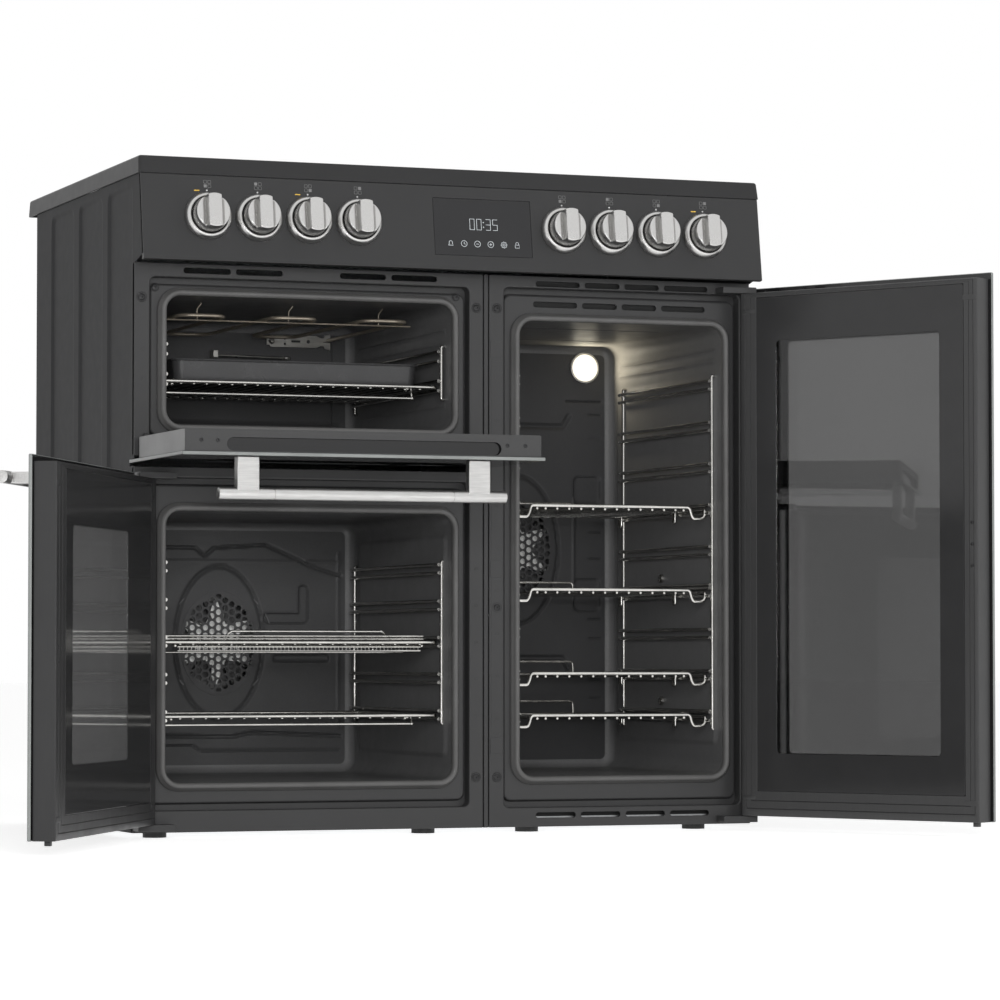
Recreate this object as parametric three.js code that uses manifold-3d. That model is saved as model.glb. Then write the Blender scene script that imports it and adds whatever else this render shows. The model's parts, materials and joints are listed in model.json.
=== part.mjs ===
// Free-standing range cooker, 900 mm wide: a ceramic hob over three cavities, each with its own
// door. A drop-down grill door is at the upper left, a side-hung oven door below it, and a tall
// side-hung oven door fills the right. All three doors stand open, as the cooker is shown.
//
// Millimetres, +X to the user's right, +Y to the back, +Z up. The origin is the centre of the
// chassis underside; the feet stand below it.
import * as THREE from 'three';
import { mergeVertices } from 'three/addons/utils/BufferGeometryUtils.js';
import Module from 'manifold-3d';

// ---------------------------------------------------------------- driving dimensions
const WIDTH = 900; // hob, left to right
const DEPTH = 588; // hob top, front to back
const HEIGHT = 901; // hob top above the chassis underside
const FOOT_DROP = 7.5; // feet below the chassis underside
const SHEET = 1.2; // steel sheet of the casing
const LINER_SHEET = 1.5; // enamelled steel of the cavities
const FIT = 0.3; // gap between pieces that lie against each other
const OVERCUT = 1; // a cutting shape runs this far past the face that it opens
const BODY_INSET = 1; // casing side inside the hob's edge
const BODY_BACK = 40; // casing back in front of the hob's back edge

const HOB_THICK = 24;
const HOB_FRONT_LEAN = 4; // the slab's front edge leans forward towards its foot
const HOB_END_DRAFT = 1.5; // its other edges lean out by this
const HOB_WALL = 2.5;
const HOB_GLASS = 4;
const HOB_GLASS_MARGIN = 14; // rim of the slab around the glass
const HOB_LIP = 16; // ledge under the glass
const HOB_LIP_THICK = 3;
const HEATER_RADII = { small: 72, medium: 90, large: 105 };
const HEATER_COLUMNS = [0.18, 0.5, 0.82]; // shares of the hob's width
const HEATER_ROWS = [0.28, 0.72]; // and of its depth
const HEATER_HIGH = 15;
const HEATER_BAR = 24; // rails that carry the heaters

const FASCIA_HIGH = 116;
const FASCIA_LEAN = 17.3; // its foot stands forward of its top
const FASCIA_SHEET = 1.5;
const FASCIA_RETURN = 20;
const DISPLAY_WIDE = 141.6;
const DISPLAY_HIGH = 79.4;
const DISPLAY_DROP = 17.4; // its top below the fascia's top
const DISPLAY_GLASS = 3;
const KNOB_PITCH = 70.7;
const KNOBS_PER_SIDE = 4;
// Free stretches along the fascia: left of the first bezels, on both sides of the display and right
// of the last bezels. They share what the bezels and the display leave of the width.
const FASCIA_STRETCHES = [61.6, 81.7, 14.5, 56.4];
const KNOB_RISE = 60.7; // shafts above the fascia's foot
const KNOB_RADIUS = 23.5;
const KNOB_BODY_FROM = 1.5; // knob's back face in front of the fascia
const KNOB_BODY_TO = 26;
const KNOB_GRIP_TO = 38;
const KNOB_GRIP_WIDE = 20;
const KNOB_SHAFT = 3;
const KNOB_HOLE = 3.6;
const KNOB_SHAFT_BACK = 14; // shaft behind the fascia
const BEZEL_OUTER = 30; // fixed ring round each knob
const BEZEL_INNER = 25.5;
const BEZEL_HIGH = 11;

const FRAME_SETBACK = 24; // front frames behind the hob's front edge
const FRAME_RETURN = 8; // their outer edges fold back this far
const TALL_BAY = 398; // right bay, from the line between the doors to the hob's right end
const CENTRE_STRIP = 6; // narrow strip between the two frames
const CENTRE_GROOVE = 1.5;
const CENTRE_GROOVE_DEEP = 8;
const FLANGE_SETBACK = 10; // cavity flanges behind the frames' face
const FLANGE_GROOVE = 8.5; // groove round each flange, deeper than its face
const FLANGE_LAP = 8; // the flange laps behind the frame
const FLANGE_SIDE_GAP = 3;
const FLANGE_END_GAP = 9;
const RECESS_RADIUS = 8;

const DOOR_PROUD = 13; // door faces in front of the hob's front edge
const DOOR_THICK = 34;
const DOOR_GLASS = 4.5;
const DOOR_GAP = 3.6; // between the left and right doors
const DOOR_BOTTOM = 12;
const DOOR_TOP_GAP = 8.5; // under the fascia
const DOOR_CORNER = 2;
const MAIN_DOOR_GAP = 3.3; // main door below the slot that takes the grill door's glass
const GRILL_GLASS_DROP = 27; // grill door's glass below its pivot
const DOOR_EDGE_INSET = 5; // inner frame inside the outer glass
// Widths of each inner frame's four rails, round its glass.
const MAIN_RAILS = { hinge: 27, free: 44, bottom: 30, top: 7 };
const TALL_RAILS = { hinge: 27, free: 22, bottom: 35.5, top: 7.5 };
const GRILL_RAILS = { hinge: 27, free: 27, bottom: 9, top: 9 };
const DOOR_FRAME_TOP_GAP = 8.7; // inner frame short of the outer glass at the top
const INNER_GLASS = 4;
const INNER_GLASS_LAP = 6;
const HINGE_FROM_EDGE = 6; // side doors: pivot inside the door's edge
const HINGE_FROM_FACE = 16.3; // and behind its face
const SIDE_DOOR_OPEN = 120; // degrees
const GRILL_DOOR_OPEN = 90;
const GRILL_HINGE_DROP = 234.2; // grill door's pivot below the fascia's foot
const GRILL_FRAME_RISE = 6; // the grill door's inner frame starts this far above its pivot
const GRILL_SLOT_INSET = 61; // vent slot in the grill door's top edge
const GRILL_SLOT_DEEP = 19;
const PIVOT_RADIUS = 3.2;
const PIVOT_HOLE = 3.7;
const PIVOT_DEEP = 11;
const EYE_RADIUS = 5;
const EYE_WIDE = 7;
const EYE_INSET = 4; // grill door's eyes inside the frame's opening
const BRACKET_WIDE = 52;
const BRACKET_HIGH = 9;
const BRACKET_NOSE = 6.3; // bracket in front of the pivot
// Room round the lower edge of the grill door's glass, in the slot that takes it when it is open.
const GLASS_POCKET_ROOM = { under: 10.5, over: 3, behind: 3 };

const HANDLE_RADIUS = 8;
const HANDLE_PROUD = 48.5; // bar's centre in front of the glass
const HANDLE_FROM_EDGE = { grill: 14, side: 25 }; // bar's centre below the door's top edge
const HANDLE_FROM_END = { grill: 51.6, side: 52.1 }; // bar's ends inside the door's
const HANDLE_POST_WIDE = 30;
const HANDLE_POST_THICK = 14;
const HANDLE_POST_INSET = 39; // post's centre from the bar's end

// Each bay's cavity keeps these distances to the hob's end and to the line between the doors.
const LEFT_MARGINS = { outer: 46, inner: 48 };
const RIGHT_MARGINS = { outer: 40.4, inner: 50 };
const BEHIND_LEFT = 96; // space behind the left cavities for fan and motor
const BEHIND_TALL = 112;
const RECESS_SIDE = 23.4; // frame opening outside the cavity, at each side
const GRILL_FLOOR_RISE = 17.5; // grill cavity's floor above the grill door's pivot
const GRILL_RECESS_DROP = 6.5; // and its frame opening's foot below it
const GRILL_BAND = 19.2; // frame between the grill's opening and the fascia
const GRILL_TOP_FLANGE = 24; // cavity below its opening's top
const MAIN_FLOOR = 65.4;
const MAIN_RECESS_FOOT = 29;
const MAIN_RECESS_DROP = 5.7; // main opening's top below the main door's top
const MAIN_TOP_FLANGE = 43.8;
const TALL_FLOOR = 69;
const TALL_RECESS_FOOT = 26.6;
const TALL_BAND = 17;
const TALL_TOP_FLANGE = 45.2;
const CAVITY_RADIUS = 20;
const SEAL_WIDE = 11;
const SEAL_PROUD = 12.7;

const FAN_GRILLE_RADIUS = 62;
const FAN_HOLE_RADIUS = 5;
const FAN_HOLE_PITCH = 25;
const FAN_RISE = { main: 190, tall: 324 }; // fan centres above the cavity floor
const FAN_RADIUS = 68;
const FAN_BLADES = 8;
const FAN_GAP = 12; // wheel behind the back wall
const FAN_DEEP = 20;
const FAN_HUB = 16;
const FAN_HUB_DEEP = 8;
const FAN_SHAFT = 3;
const FAN_BORE = 3.4;
const FAN_SHAFT_CLEAR = 2; // round the shaft where it enters the rear chamber
const FAN_COVER_DEEP = 38; // rear chamber round the wheel
const FAN_COVER_RADIUS = 82;
const MOTOR_RADIUS = 30;
const MOTOR_LENGTH = 34;

const RACK_WIRE = 2.5;
const RACK_OFF_WALL = 9; // rungs' centre off the cavity wall
const UPRIGHT_OFF_WALL = 4.5;
const RUNG_PAIR = 11.4;
const RACK_FRONT = { grill: 25.8, main: 24.5, tall: 21.8 }; // uprights behind the flange face
const RACK_REAR_GAP = { grill: 23, main: 23, tall: 56 }; // rear uprights before the back wall
const RUNG_RUN_OUT = 14; // rungs run on past the uprights
const TALL_LEVEL_PITCH = 58.5;
const TALL_LEVEL_FIRST = 75.2; // lowest rung above the cavity floor
const MAIN_LEVEL_PITCH = 50.2;
const MAIN_LEVEL_FIRST = 83;
const LEVEL_HEADROOM = 70; // above the highest level
const GRILL_RUNG_RISES = [56.4, 70, 97, 110.4];

const RAIL_WIRE = 2.5; // outer wire of a shelf
const DECK_WIRE = 1.8;
const SHELF_FRONT = 34; // shelf's front bar behind the flange face
const SHELF_REAR_GAP = { left: 60, tall: 44 }; // shelf's rear bar before the back wall
const DECK_WIRES = 8;
const SHELF_GUARD_HIGH = 19;
const SHELF_GUARD_HALF = 80;
const TALL_SHELF_LEVELS = [0, 1, 3, 5]; // shelves on these levels, counted from the lowest
const MAIN_SHELF_LEVELS = [0, 2];
const SHELF_OFF_WALL = 9.8; // rails' centre off the cavity wall, inside the rungs'
const SHELF_HOOK = 7;
const SHELF_STEP = 24; // front bar's ends step down this far in from the rail
const SHELF_STEP_DROP = 12;
const SHELF_BAR_RISE = 3; // and its middle stands above the rails
const DECK_RISE = 1; // a stepped shelf's deck is raised by this
const PAN_HIGH = 32.5;
const PAN_WALL = 1.5;
const PAN_INSET = 16; // pan inside the shelf's rails
const PAN_REAR_INSET = 28;
const PAN_RADIUS = 14;

const LAMP_RADIUS = 23.5;
const LAMP_THICK = 6;
const LAMP_FROM_RIGHT = 45;
const LAMP_DROP = 32; // below the cavity ceiling
const ELEMENT_RADIUS = 3.5;
const ELEMENT_DROP = 20; // grill element below the ceiling
const ELEMENT_GAPS = { side: 40, front: 60, back: 40 }; // its runs inside the cavity's walls
const ELEMENT_RUNS = 6;

const FRAME_VENT_HIGH = 7.5;
// Each vent's left end from its cavity's middle, and its width.
const GRILL_VENTS = [[-181, 66], [-107.6, 66], [40, 66], [114, 66]];
const TALL_VENTS = [[-130.3, 65.5], [-57.1, 52.3], [2.7, 52], [62.6, 66.5]];
const TALL_VENT_DROP = 14.7; // frame's vents below the fascia
const BASE_VENTS = [[-130.3, 59], [-63.5, 59], [3.8, 59], [70.8, 59]];
const BASE_VENT_RISE = 12.1;
const BASE_EDGE = 14; // base pan's upturned edges
const FOOT_CHANNEL = 2; // the feet stand in a channel along the base pan's front, pressed up this far
const FOOT_CHANNEL_ROOM = 8; // behind the feet
const FOOT_RADIUS = 16;
const FOOT_BACK = 60;
const FOOT_INSETS = { left: 41.5, right: 73 }; // outer feet from the hob's ends
const FOOT_OFFSETS = { left: 79, right: 73.4 }; // inner feet from the line between the doors
const FOOT_STUD = 4;
const FOOT_STUD_HIGH = 18;
const SKID_WIDE = 40;
const SKID_DEEP = 26;
const SKID_INSET = 60;
const FIELDS = 3; // pressed fields in the side panels
const FIELD_GAPS = { front: 34, between: 26, rear: 84 };
const FIELD_DEEP = 3;
const FIELD_TOP_GAP = 12;
const FIELD_BOTTOM = 40;
const FIELD_RADIUS = 14;
const BACK_VENT_ROWS = 5;
const BACK_VENT_WIDE = 150;
const BACK_VENT_HIGH = 5;
const BACK_VENT_PITCH = 16;
const TERMINAL_BOX = { fromRight: 100, z: 90, wide: 90, high: 70, deep: 24 };
const TERMINAL_BORE = 9;

const WIRE_SIDES = 4;
const ROUND_SIDES = 16;
const ARC_STEPS = 2;

// ---------------------------------------------------------------- places worked out from them
const left = -WIDTH / 2;
const front = -DEPTH / 2;
const fromLeft = (distance) => left + distance;
const fromFront = (distance) => front + distance;
const bodyLeft = fromLeft(BODY_INSET);
const bodyRight = fromLeft(WIDTH - BODY_INSET);
const bodyBack = fromFront(DEPTH - BODY_BACK);
const hobBottom = HEIGHT - HOB_THICK;
const fasciaTop = hobBottom - FIT;
const fasciaFoot = fasciaTop - FASCIA_HIGH;
const fasciaTopY = fromFront(-HOB_FRONT_LEAN);
const fasciaFootY = fasciaTopY - FASCIA_LEAN;
const frameFace = fromFront(FRAME_SETBACK);
const frameBack = frameFace + SHEET;
const flangeFace = frameFace + FLANGE_SETBACK;
const grooveFloor = flangeFace + FLANGE_GROOVE;
const doorFace = fromFront(-DOOR_PROUD);
const doorInner = doorFace + DOOR_THICK;
const doorTop = fasciaFoot - DOOR_TOP_GAP;
const centreLine = WIDTH - TALL_BAY;
const leftDoorEnd = centreLine - DOOR_GAP / 2;
const rightDoorStart = centreLine + DOOR_GAP / 2;
const stripLeft = fromLeft(centreLine - CENTRE_STRIP / 2);
const stripRight = fromLeft(centreLine + CENTRE_STRIP / 2);
const leftFrameEnd = stripLeft - CENTRE_GROOVE;
const rightFrameStart = stripRight + CENTRE_GROOVE;
const grillHingeZ = fasciaFoot - GRILL_HINGE_DROP;
const pocketBottom = grillHingeZ - DOOR_THICK - GLASS_POCKET_ROOM.under;
const pocketTop = grillHingeZ - DOOR_THICK + DOOR_GLASS + GLASS_POCKET_ROOM.over;
const pocketBack = doorInner + GRILL_GLASS_DROP + GLASS_POCKET_ROOM.behind;
const mainDoorTop = pocketBottom - MAIN_DOOR_GAP;

const GRILL_RECESS = { bottom: grillHingeZ - GRILL_RECESS_DROP, top: fasciaFoot - GRILL_BAND };
const MAIN_RECESS = { bottom: MAIN_RECESS_FOOT, top: mainDoorTop - MAIN_RECESS_DROP };
const TALL_RECESS = { bottom: TALL_RECESS_FOOT, top: fasciaFoot - TALL_BAND };

// A cavity between two distances from the left; x is its middle.
function cavityBetween(x0, x1, bottom, top, behind) {
  const deep = bodyBack - behind - flangeFace;
  return { x: (x0 + x1) / 2, wide: x1 - x0, bottom, high: top - bottom, deep };
}
const leftBay = [LEFT_MARGINS.outer, centreLine - LEFT_MARGINS.inner];
const rightBay = [centreLine + RIGHT_MARGINS.inner, WIDTH - RIGHT_MARGINS.outer];
const GRILL = cavityBetween(
  ...leftBay, grillHingeZ + GRILL_FLOOR_RISE, GRILL_RECESS.top - GRILL_TOP_FLANGE, BEHIND_LEFT,
);
const MAIN = cavityBetween(...leftBay, MAIN_FLOOR, MAIN_RECESS.top - MAIN_TOP_FLANGE, BEHIND_LEFT);
const TALL = cavityBetween(...rightBay, TALL_FLOOR, TALL_RECESS.top - TALL_TOP_FLANGE, BEHIND_TALL);

// ---------------------------------------------------------------- solid modelling helpers
const wasm = await Module();
wasm.setup();

function solid(geometry) {
  const bare = geometry.index ? geometry.toNonIndexed() : geometry;
  bare.deleteAttribute('normal');
  bare.deleteAttribute('uv');
  const merged = mergeVertices(bare, 1e-4);
  return new wasm.Manifold(new wasm.Mesh({
    numProp: 3,
    vertProperties: merged.attributes.position.array,
    triVerts: new Uint32Array(merged.index.array),
  }));
}

function geometryOf(manifold) {
  const { vertProperties, triVerts } = manifold.getMesh();
  const geometry = new THREE.BufferGeometry();
  geometry.setAttribute('position', new THREE.BufferAttribute(vertProperties, 3));
  geometry.setIndex(new THREE.BufferAttribute(triVerts, 1));
  geometry.computeVertexNormals();
  return geometry;
}

const join = (...parts) => parts.flat().reduce((whole, part) => whole.add(part));
const cut = (whole, ...parts) => parts.flat().reduce((rest, part) => rest.subtract(part), whole);

// A box between two corners.
function box(x0, x1, y0, y1, z0, z1) {
  const geometry = new THREE.BoxGeometry(x1 - x0, y1 - y0, z1 - z0);
  return solid(geometry.translate((x0 + x1) / 2, (y0 + y1) / 2, (z0 + z1) / 2));
}

// Planes that an outline may be drawn in, each with the way it is extruded.
const PLANES = {
  xz: new THREE.Matrix4().makeBasis(
    new THREE.Vector3(1, 0, 0), new THREE.Vector3(0, 0, 1), new THREE.Vector3(0, -1, 0),
  ),
  yz: new THREE.Matrix4().makeBasis(
    new THREE.Vector3(0, 1, 0), new THREE.Vector3(0, 0, 1), new THREE.Vector3(1, 0, 0),
  ),
  xy: new THREE.Matrix4(),
};

// An outline extruded across its plane, from one place to another along the third axis.
function extrude(shape, plane, from, to, bevel = {}) {
  const options = { depth: to - from, bevelEnabled: false, curveSegments: ARC_STEPS, ...bevel };
  const geometry = new THREE.ExtrudeGeometry(shape, options).applyMatrix4(PLANES[plane]);
  if (plane === 'xz') geometry.translate(0, to, 0);
  if (plane === 'yz') geometry.translate(from, 0, 0);
  if (plane === 'xy') geometry.translate(0, 0, from);
  return solid(geometry);
}

function outline(points) {
  return new THREE.Shape(points.map(([a, b]) => new THREE.Vector2(a, b)));
}

function roundedRect(a0, a1, b0, b1, radius, path = new THREE.Shape()) {
  path.moveTo(a0 + radius, b0);
  path.lineTo(a1 - radius, b0);
  path.absarc(a1 - radius, b0 + radius, radius, -Math.PI / 2, 0);
  path.lineTo(a1, b1 - radius);
  path.absarc(a1 - radius, b1 - radius, radius, 0, Math.PI / 2);
  path.lineTo(a0 + radius, b1);
  path.absarc(a0 + radius, b1 - radius, radius, Math.PI / 2, Math.PI);
  path.lineTo(a0, b0 + radius);
  path.absarc(a0 + radius, b0 + radius, radius, Math.PI, 1.5 * Math.PI);
  return path;
}

// A round bar between two points.
function bar(from, to, radius, sides = WIRE_SIDES, overrun = 0) {
  const a = new THREE.Vector3(...from);
  const b = new THREE.Vector3(...to);
  const along = b.clone().sub(a);
  const geometry = new THREE.CylinderGeometry(radius, radius, along.length() + 2 * overrun, sides);
  const turn = new THREE.Quaternion().setFromUnitVectors(new THREE.Vector3(0, 1, 0), along.normalize());
  geometry.applyQuaternion(turn).translate(...a.add(b).multiplyScalar(0.5).toArray());
  return solid(geometry);
}

// A wire bent through a list of points.
function wire(points, radius) {
  return points.slice(1).map((point, i) => bar(points[i], point, radius, WIRE_SIDES, radius / 2));
}

const object = new THREE.Group();
const finishes = {
  enamel: [0x3d3d3e, 0.5, 0.2],
  cavity: [0x323233, 0.45, 0.3],
  gasket: [0x5c5c5c, 0.7, 0],
  blackGlass: [0x1b1c1e, 0.08, 0],
  hobGlass: [0x121314, 0.1, 0],
  panelGlass: [0x2a2a2b, 0.1, 0],
  innerGlass: [0x3a3a3b, 0.1, 0],
  aluminium: [0x7a7a7a, 0.45, 0.8],
  satin: [0xc9c8c6, 0.35, 0.9],
  chrome: [0xd9d8d4, 0.15, 1],
  zinc: [0x9a9c9e, 0.5, 0.8],
  lamp: [0xfff6de, 0.4, 0],
  rubber: [0x242424, 0.8, 0],
};

function piece(name, manifold, finish, parent = object) {
  const [color, roughness, metalness] = finishes[finish];
  const material = new THREE.MeshStandardMaterial({ color, roughness, metalness });
  const mesh = new THREE.Mesh(geometryOf(manifold), material);
  mesh.name = name;
  parent.add(mesh);
  return mesh;
}

// ---------------------------------------------------------------- casing
const feetX = [
  FOOT_INSETS.left,
  centreLine - FOOT_OFFSETS.left,
  centreLine + FOOT_OFFSETS.right,
  WIDTH - FOOT_INSETS.right,
].map(fromLeft);

function basePan() {
  const x0 = bodyLeft + SHEET + FIT;
  const x1 = bodyRight - SHEET - FIT;
  const y0 = frameFace + FRAME_RETURN + FIT;
  const y1 = bodyBack - SHEET - FIT;
  const channelBack = fromFront(FOOT_BACK) + FOOT_RADIUS + FOOT_CHANNEL_ROOM;
  const channelTop = FOOT_CHANNEL + SHEET;
  const tray = cut(
    box(x0, x1, y0, y1, 0, BASE_EDGE),
    box(x0 + SHEET, x1 - SHEET, channelBack + SHEET, y1 - SHEET, SHEET, BASE_EDGE + OVERCUT),
    box(x0 + SHEET, x1 - SHEET, y0 + SHEET, y1 - SHEET, channelTop, BASE_EDGE + OVERCUT),
    box(x0 - OVERCUT, x1 + OVERCUT, y0 - OVERCUT, channelBack, -OVERCUT, FOOT_CHANNEL),
  );
  const skids = [x0 + SKID_INSET, x1 - SKID_INSET - SKID_WIDE].map((x) => (
    box(x, x + SKID_WIDE, y1 - SKID_INSET, y1 - SKID_INSET + SKID_DEEP, -FOOT_DROP, SHEET / 2)
  ));
  const studHoles = feetX.map((x) => bar(
    [x, fromFront(FOOT_BACK), FOOT_CHANNEL - OVERCUT],
    [x, fromFront(FOOT_BACK), channelTop + OVERCUT],
    FOOT_STUD + 2 * FIT,
    ROUND_SIDES,
  ));
  return cut(join(tray, skids), studHoles);
}

function foot(x) {
  const y = fromFront(FOOT_BACK);
  const padTop = FOOT_CHANNEL - FIT;
  const pad = bar([x, y, -FOOT_DROP], [x, y, padTop], FOOT_RADIUS, ROUND_SIDES);
  const stud = bar([x, y, padTop - SHEET], [x, y, FOOT_STUD_HIGH], FOOT_STUD, WIRE_SIDES);
  return join(pad, stud);
}

// One side of the casing. It is built for the left and mirrored for the right.
function sidePanel(side) {
  const x = (inwards) => side * (bodyRight - inwards);
  const span = (a, b) => [Math.min(x(a), x(b)), Math.max(x(a), x(b))];
  const frontEdge = frameBack + FIT;
  const lean = FASCIA_LEAN / FASCIA_HIGH;
  const fasciaBack = fasciaFootY + FASCIA_SHEET + 2 * FIT;
  const profile = outline([
    [bodyBack, 0],
    [frontEdge, 0],
    [frontEdge, fasciaFoot],
    [fasciaBack, fasciaFoot],
    [fasciaBack + lean * FASCIA_HIGH, fasciaTop],
    [bodyBack, fasciaTop],
  ]);
  const fieldTop = fasciaTop - FIELD_TOP_GAP;
  const free = bodyBack - front - FIELD_GAPS.front - FIELD_GAPS.rear - (FIELDS - 1) * FIELD_GAPS.between;
  const fieldWide = free / FIELDS;
  const starts = Array.from({ length: FIELDS }, (_, i) => (
    fromFront(FIELD_GAPS.front) + i * (fieldWide + FIELD_GAPS.between)
  ));
  const field = (start, grow) => roundedRect(
    start - grow, start + fieldWide + grow, FIELD_BOTTOM - grow, fieldTop + grow, FIELD_RADIUS + grow,
  );
  const plate = extrude(profile, 'yz', ...span(0, SHEET));
  const bosses = starts.map((start) => extrude(field(start, SHEET), 'yz', ...span(0, FIELD_DEEP + SHEET)));
  const dents = starts.map((start) => extrude(field(start, 0), 'yz', ...span(-OVERCUT, FIELD_DEEP)));
  const panel = cut(join(plate, bosses), dents);
  const slot = box(
    ...span(-OVERCUT, FIELD_DEEP + SHEET + OVERCUT), frontEdge - OVERCUT, pocketBack, pocketBottom, pocketTop,
  );
  return side < 0 ? cut(panel, slot) : panel;
}

function backPanel() {
  const x0 = bodyLeft + SHEET + FIT;
  const x1 = bodyRight - SHEET - FIT;
  const plate = box(x0, x1, bodyBack - SHEET, bodyBack, 0, fasciaTop);
  const { fromRight, z, wide, high, deep } = TERMINAL_BOX;
  const coverEnd = fromLeft(WIDTH - fromRight);
  const cover = box(coverEnd - wide, coverEnd, bodyBack - SHEET, bodyBack + deep, z, z + high);
  const hollow = box(
    coverEnd - wide + SHEET,
    coverEnd - SHEET,
    bodyBack - SHEET - OVERCUT,
    bodyBack + deep - SHEET,
    z + SHEET,
    z + high - SHEET,
  );
  const middle = coverEnd - wide / 2;
  const bore = bar(
    [middle, bodyBack + deep / 2, z - OVERCUT],
    [middle, bodyBack + deep / 2, z + SHEET + OVERCUT],
    TERMINAL_BORE,
    ROUND_SIDES,
  );
  const vents = [];
  for (let row = 0; row < BACK_VENT_ROWS; row += 1) {
    const bottom = fasciaFoot - row * BACK_VENT_PITCH;
    for (const centre of [MAIN.x, TALL.x]) {
      vents.push(box(
        fromLeft(centre - BACK_VENT_WIDE / 2),
        fromLeft(centre + BACK_VENT_WIDE / 2),
        bodyBack - SHEET - OVERCUT,
        bodyBack + OVERCUT,
        bottom,
        bottom + BACK_VENT_HIGH,
      ));
    }
  }
  return cut(join(plate, cover), hollow, bore, vents);
}

// ---------------------------------------------------------------- front frames
// The opening in a frame round a cavity, as its left, right, bottom and top.
function recessOf(cavity, recess) {
  return [
    fromLeft(cavity.x - cavity.wide / 2 - RECESS_SIDE),
    fromLeft(cavity.x + cavity.wide / 2 + RECESS_SIDE),
    recess.bottom,
    recess.top,
  ];
}

// A frame's opening: the hole, and the edge folded back to the cavity's flange.
function recessEdge([x0, x1, z0, z1]) {
  const sleeve = roundedRect(
    x0 - SHEET, x1 + SHEET, z0 - SHEET, z1 + SHEET, RECESS_RADIUS + SHEET,
  );
  return extrude(sleeve, 'xz', frameFace, grooveFloor - FIT);
}

function recessHole([x0, x1, z0, z1]) {
  const hole = roundedRect(x0, x1, z0, z1, RECESS_RADIUS);
  return extrude(hole, 'xz', frameFace - OVERCUT, grooveFloor + OVERCUT);
}

// A row of vents over or under a cavity, cut through from one depth to another.
function ventHoles(cavity, vents, z, y0, y1) {
  return vents.map(([start, wide]) => {
    const x = fromLeft(cavity.x) + start;
    return box(x, x + wide, y0 - OVERCUT, y1 + OVERCUT, z, z + FRAME_VENT_HIGH);
  });
}

// A bracket that carries a side door's pivot: its bottom, and the end the pin points to.
function pivotBracket(axisX, outwards, bottom, pinUp) {
  const top = bottom + BRACKET_HIGH;
  const outer = axisX + outwards * (HINGE_FROM_EDGE - FIT - FIT);
  const inner = axisX - outwards * (BRACKET_WIDE - HINGE_FROM_EDGE);
  const axisY = doorFace + HINGE_FROM_FACE;
  const block = box(
    Math.min(outer, inner), Math.max(outer, inner), axisY - BRACKET_NOSE, frameBack, bottom, top,
  );
  const pinFrom = pinUp ? top - SHEET : bottom + SHEET;
  const pinTo = pinUp ? top + PIVOT_DEEP : bottom - PIVOT_DEEP;
  return join(block, bar([axisX, axisY, pinFrom], [axisX, axisY, pinTo], PIVOT_RADIUS, ROUND_SIDES));
}

const mainAxisX = fromLeft(BODY_INSET + HINGE_FROM_EDGE);
const tallAxisX = fromLeft(WIDTH - BODY_INSET - HINGE_FROM_EDGE);
const sideAxisY = doorFace + HINGE_FROM_FACE;
const bottomBracket = DOOR_BOTTOM - FIT - BRACKET_HIGH;
const frameTopOf = (top) => top - DOOR_FRAME_TOP_GAP;

// A round bar along X at the grill door's pivot.
const pivotBar = (x0, x1, radius) => bar(
  [x0, grillAxisY, grillHingeZ], [x1, grillAxisY, grillHingeZ], radius, ROUND_SIDES,
);

// The grill door's pivot stands out of the frame on a lug beside the opening.
const grillAxisY = doorInner;
function grillLug(edge, inwards) {
  const lugFrom = edge - inwards * (EYE_WIDE + SHEET);
  const lugTo = edge - inwards * SHEET;
  const span = [Math.min(lugFrom, lugTo), Math.max(lugFrom, lugTo)];
  const eye = pivotBar(...span, EYE_RADIUS);
  const web = box(...span, grillAxisY, frameBack, grillHingeZ - EYE_RADIUS, grillHingeZ + EYE_RADIUS);
  const pinEnd = edge + inwards * (EYE_INSET + EYE_WIDE + PIVOT_RADIUS);
  return join(eye, web, pivotBar(lugFrom, pinEnd, PIVOT_RADIUS));
}

function leftFrame() {
  const plate = box(bodyLeft, leftFrameEnd, frameFace, frameBack, 0, fasciaFoot - FIT);
  const returnX = bodyLeft + SHEET + FIT;
  const outerReturn = box(
    returnX, returnX + SHEET, frameFace, frameFace + FRAME_RETURN, 0, fasciaFoot - FIT,
  );
  const grooveBack = frameFace + CENTRE_GROOVE_DEEP;
  const grooveWall = box(leftFrameEnd - SHEET, leftFrameEnd, frameFace, grooveBack, 0, fasciaFoot - FIT);
  const grooveSheet = box(
    leftFrameEnd - SHEET, stripRight, grooveBack - SHEET, grooveBack, 0, fasciaFoot - FIT,
  );
  const strip = box(stripLeft, stripRight, frameFace, grooveBack, 0, fasciaFoot - FIT);
  const bottomReturn = box(returnX, leftFrameEnd, frameFace, frameFace + FRAME_RETURN, 0, SHEET);
  const grillHole = recessOf(GRILL, GRILL_RECESS);
  const mainHole = recessOf(MAIN, MAIN_RECESS);
  const ventZ = (GRILL_RECESS.top + fasciaFoot - FRAME_VENT_HIGH) / 2;
  const vents = ventHoles(GRILL, GRILL_VENTS, ventZ, frameFace, frameBack);
  const pocket = box(
    bodyLeft - OVERCUT, fromLeft(centreLine), frameFace - OVERCUT, pocketBack, pocketBottom, pocketTop,
  );
  const sheet = cut(
    join(
      plate, outerReturn, grooveWall, grooveSheet, strip, bottomReturn,
      recessEdge(grillHole), recessEdge(mainHole),
    ),
    recessHole(grillHole),
    recessHole(mainHole),
    vents,
    pocket,
  );
  return join(
    sheet,
    pivotBracket(mainAxisX, -1, bottomBracket, true),
    pivotBracket(mainAxisX, -1, frameTopOf(mainDoorTop) + FIT, false),
    grillLug(grillHole[0], 1),
    grillLug(grillHole[1], -1),
  );
}

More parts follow.
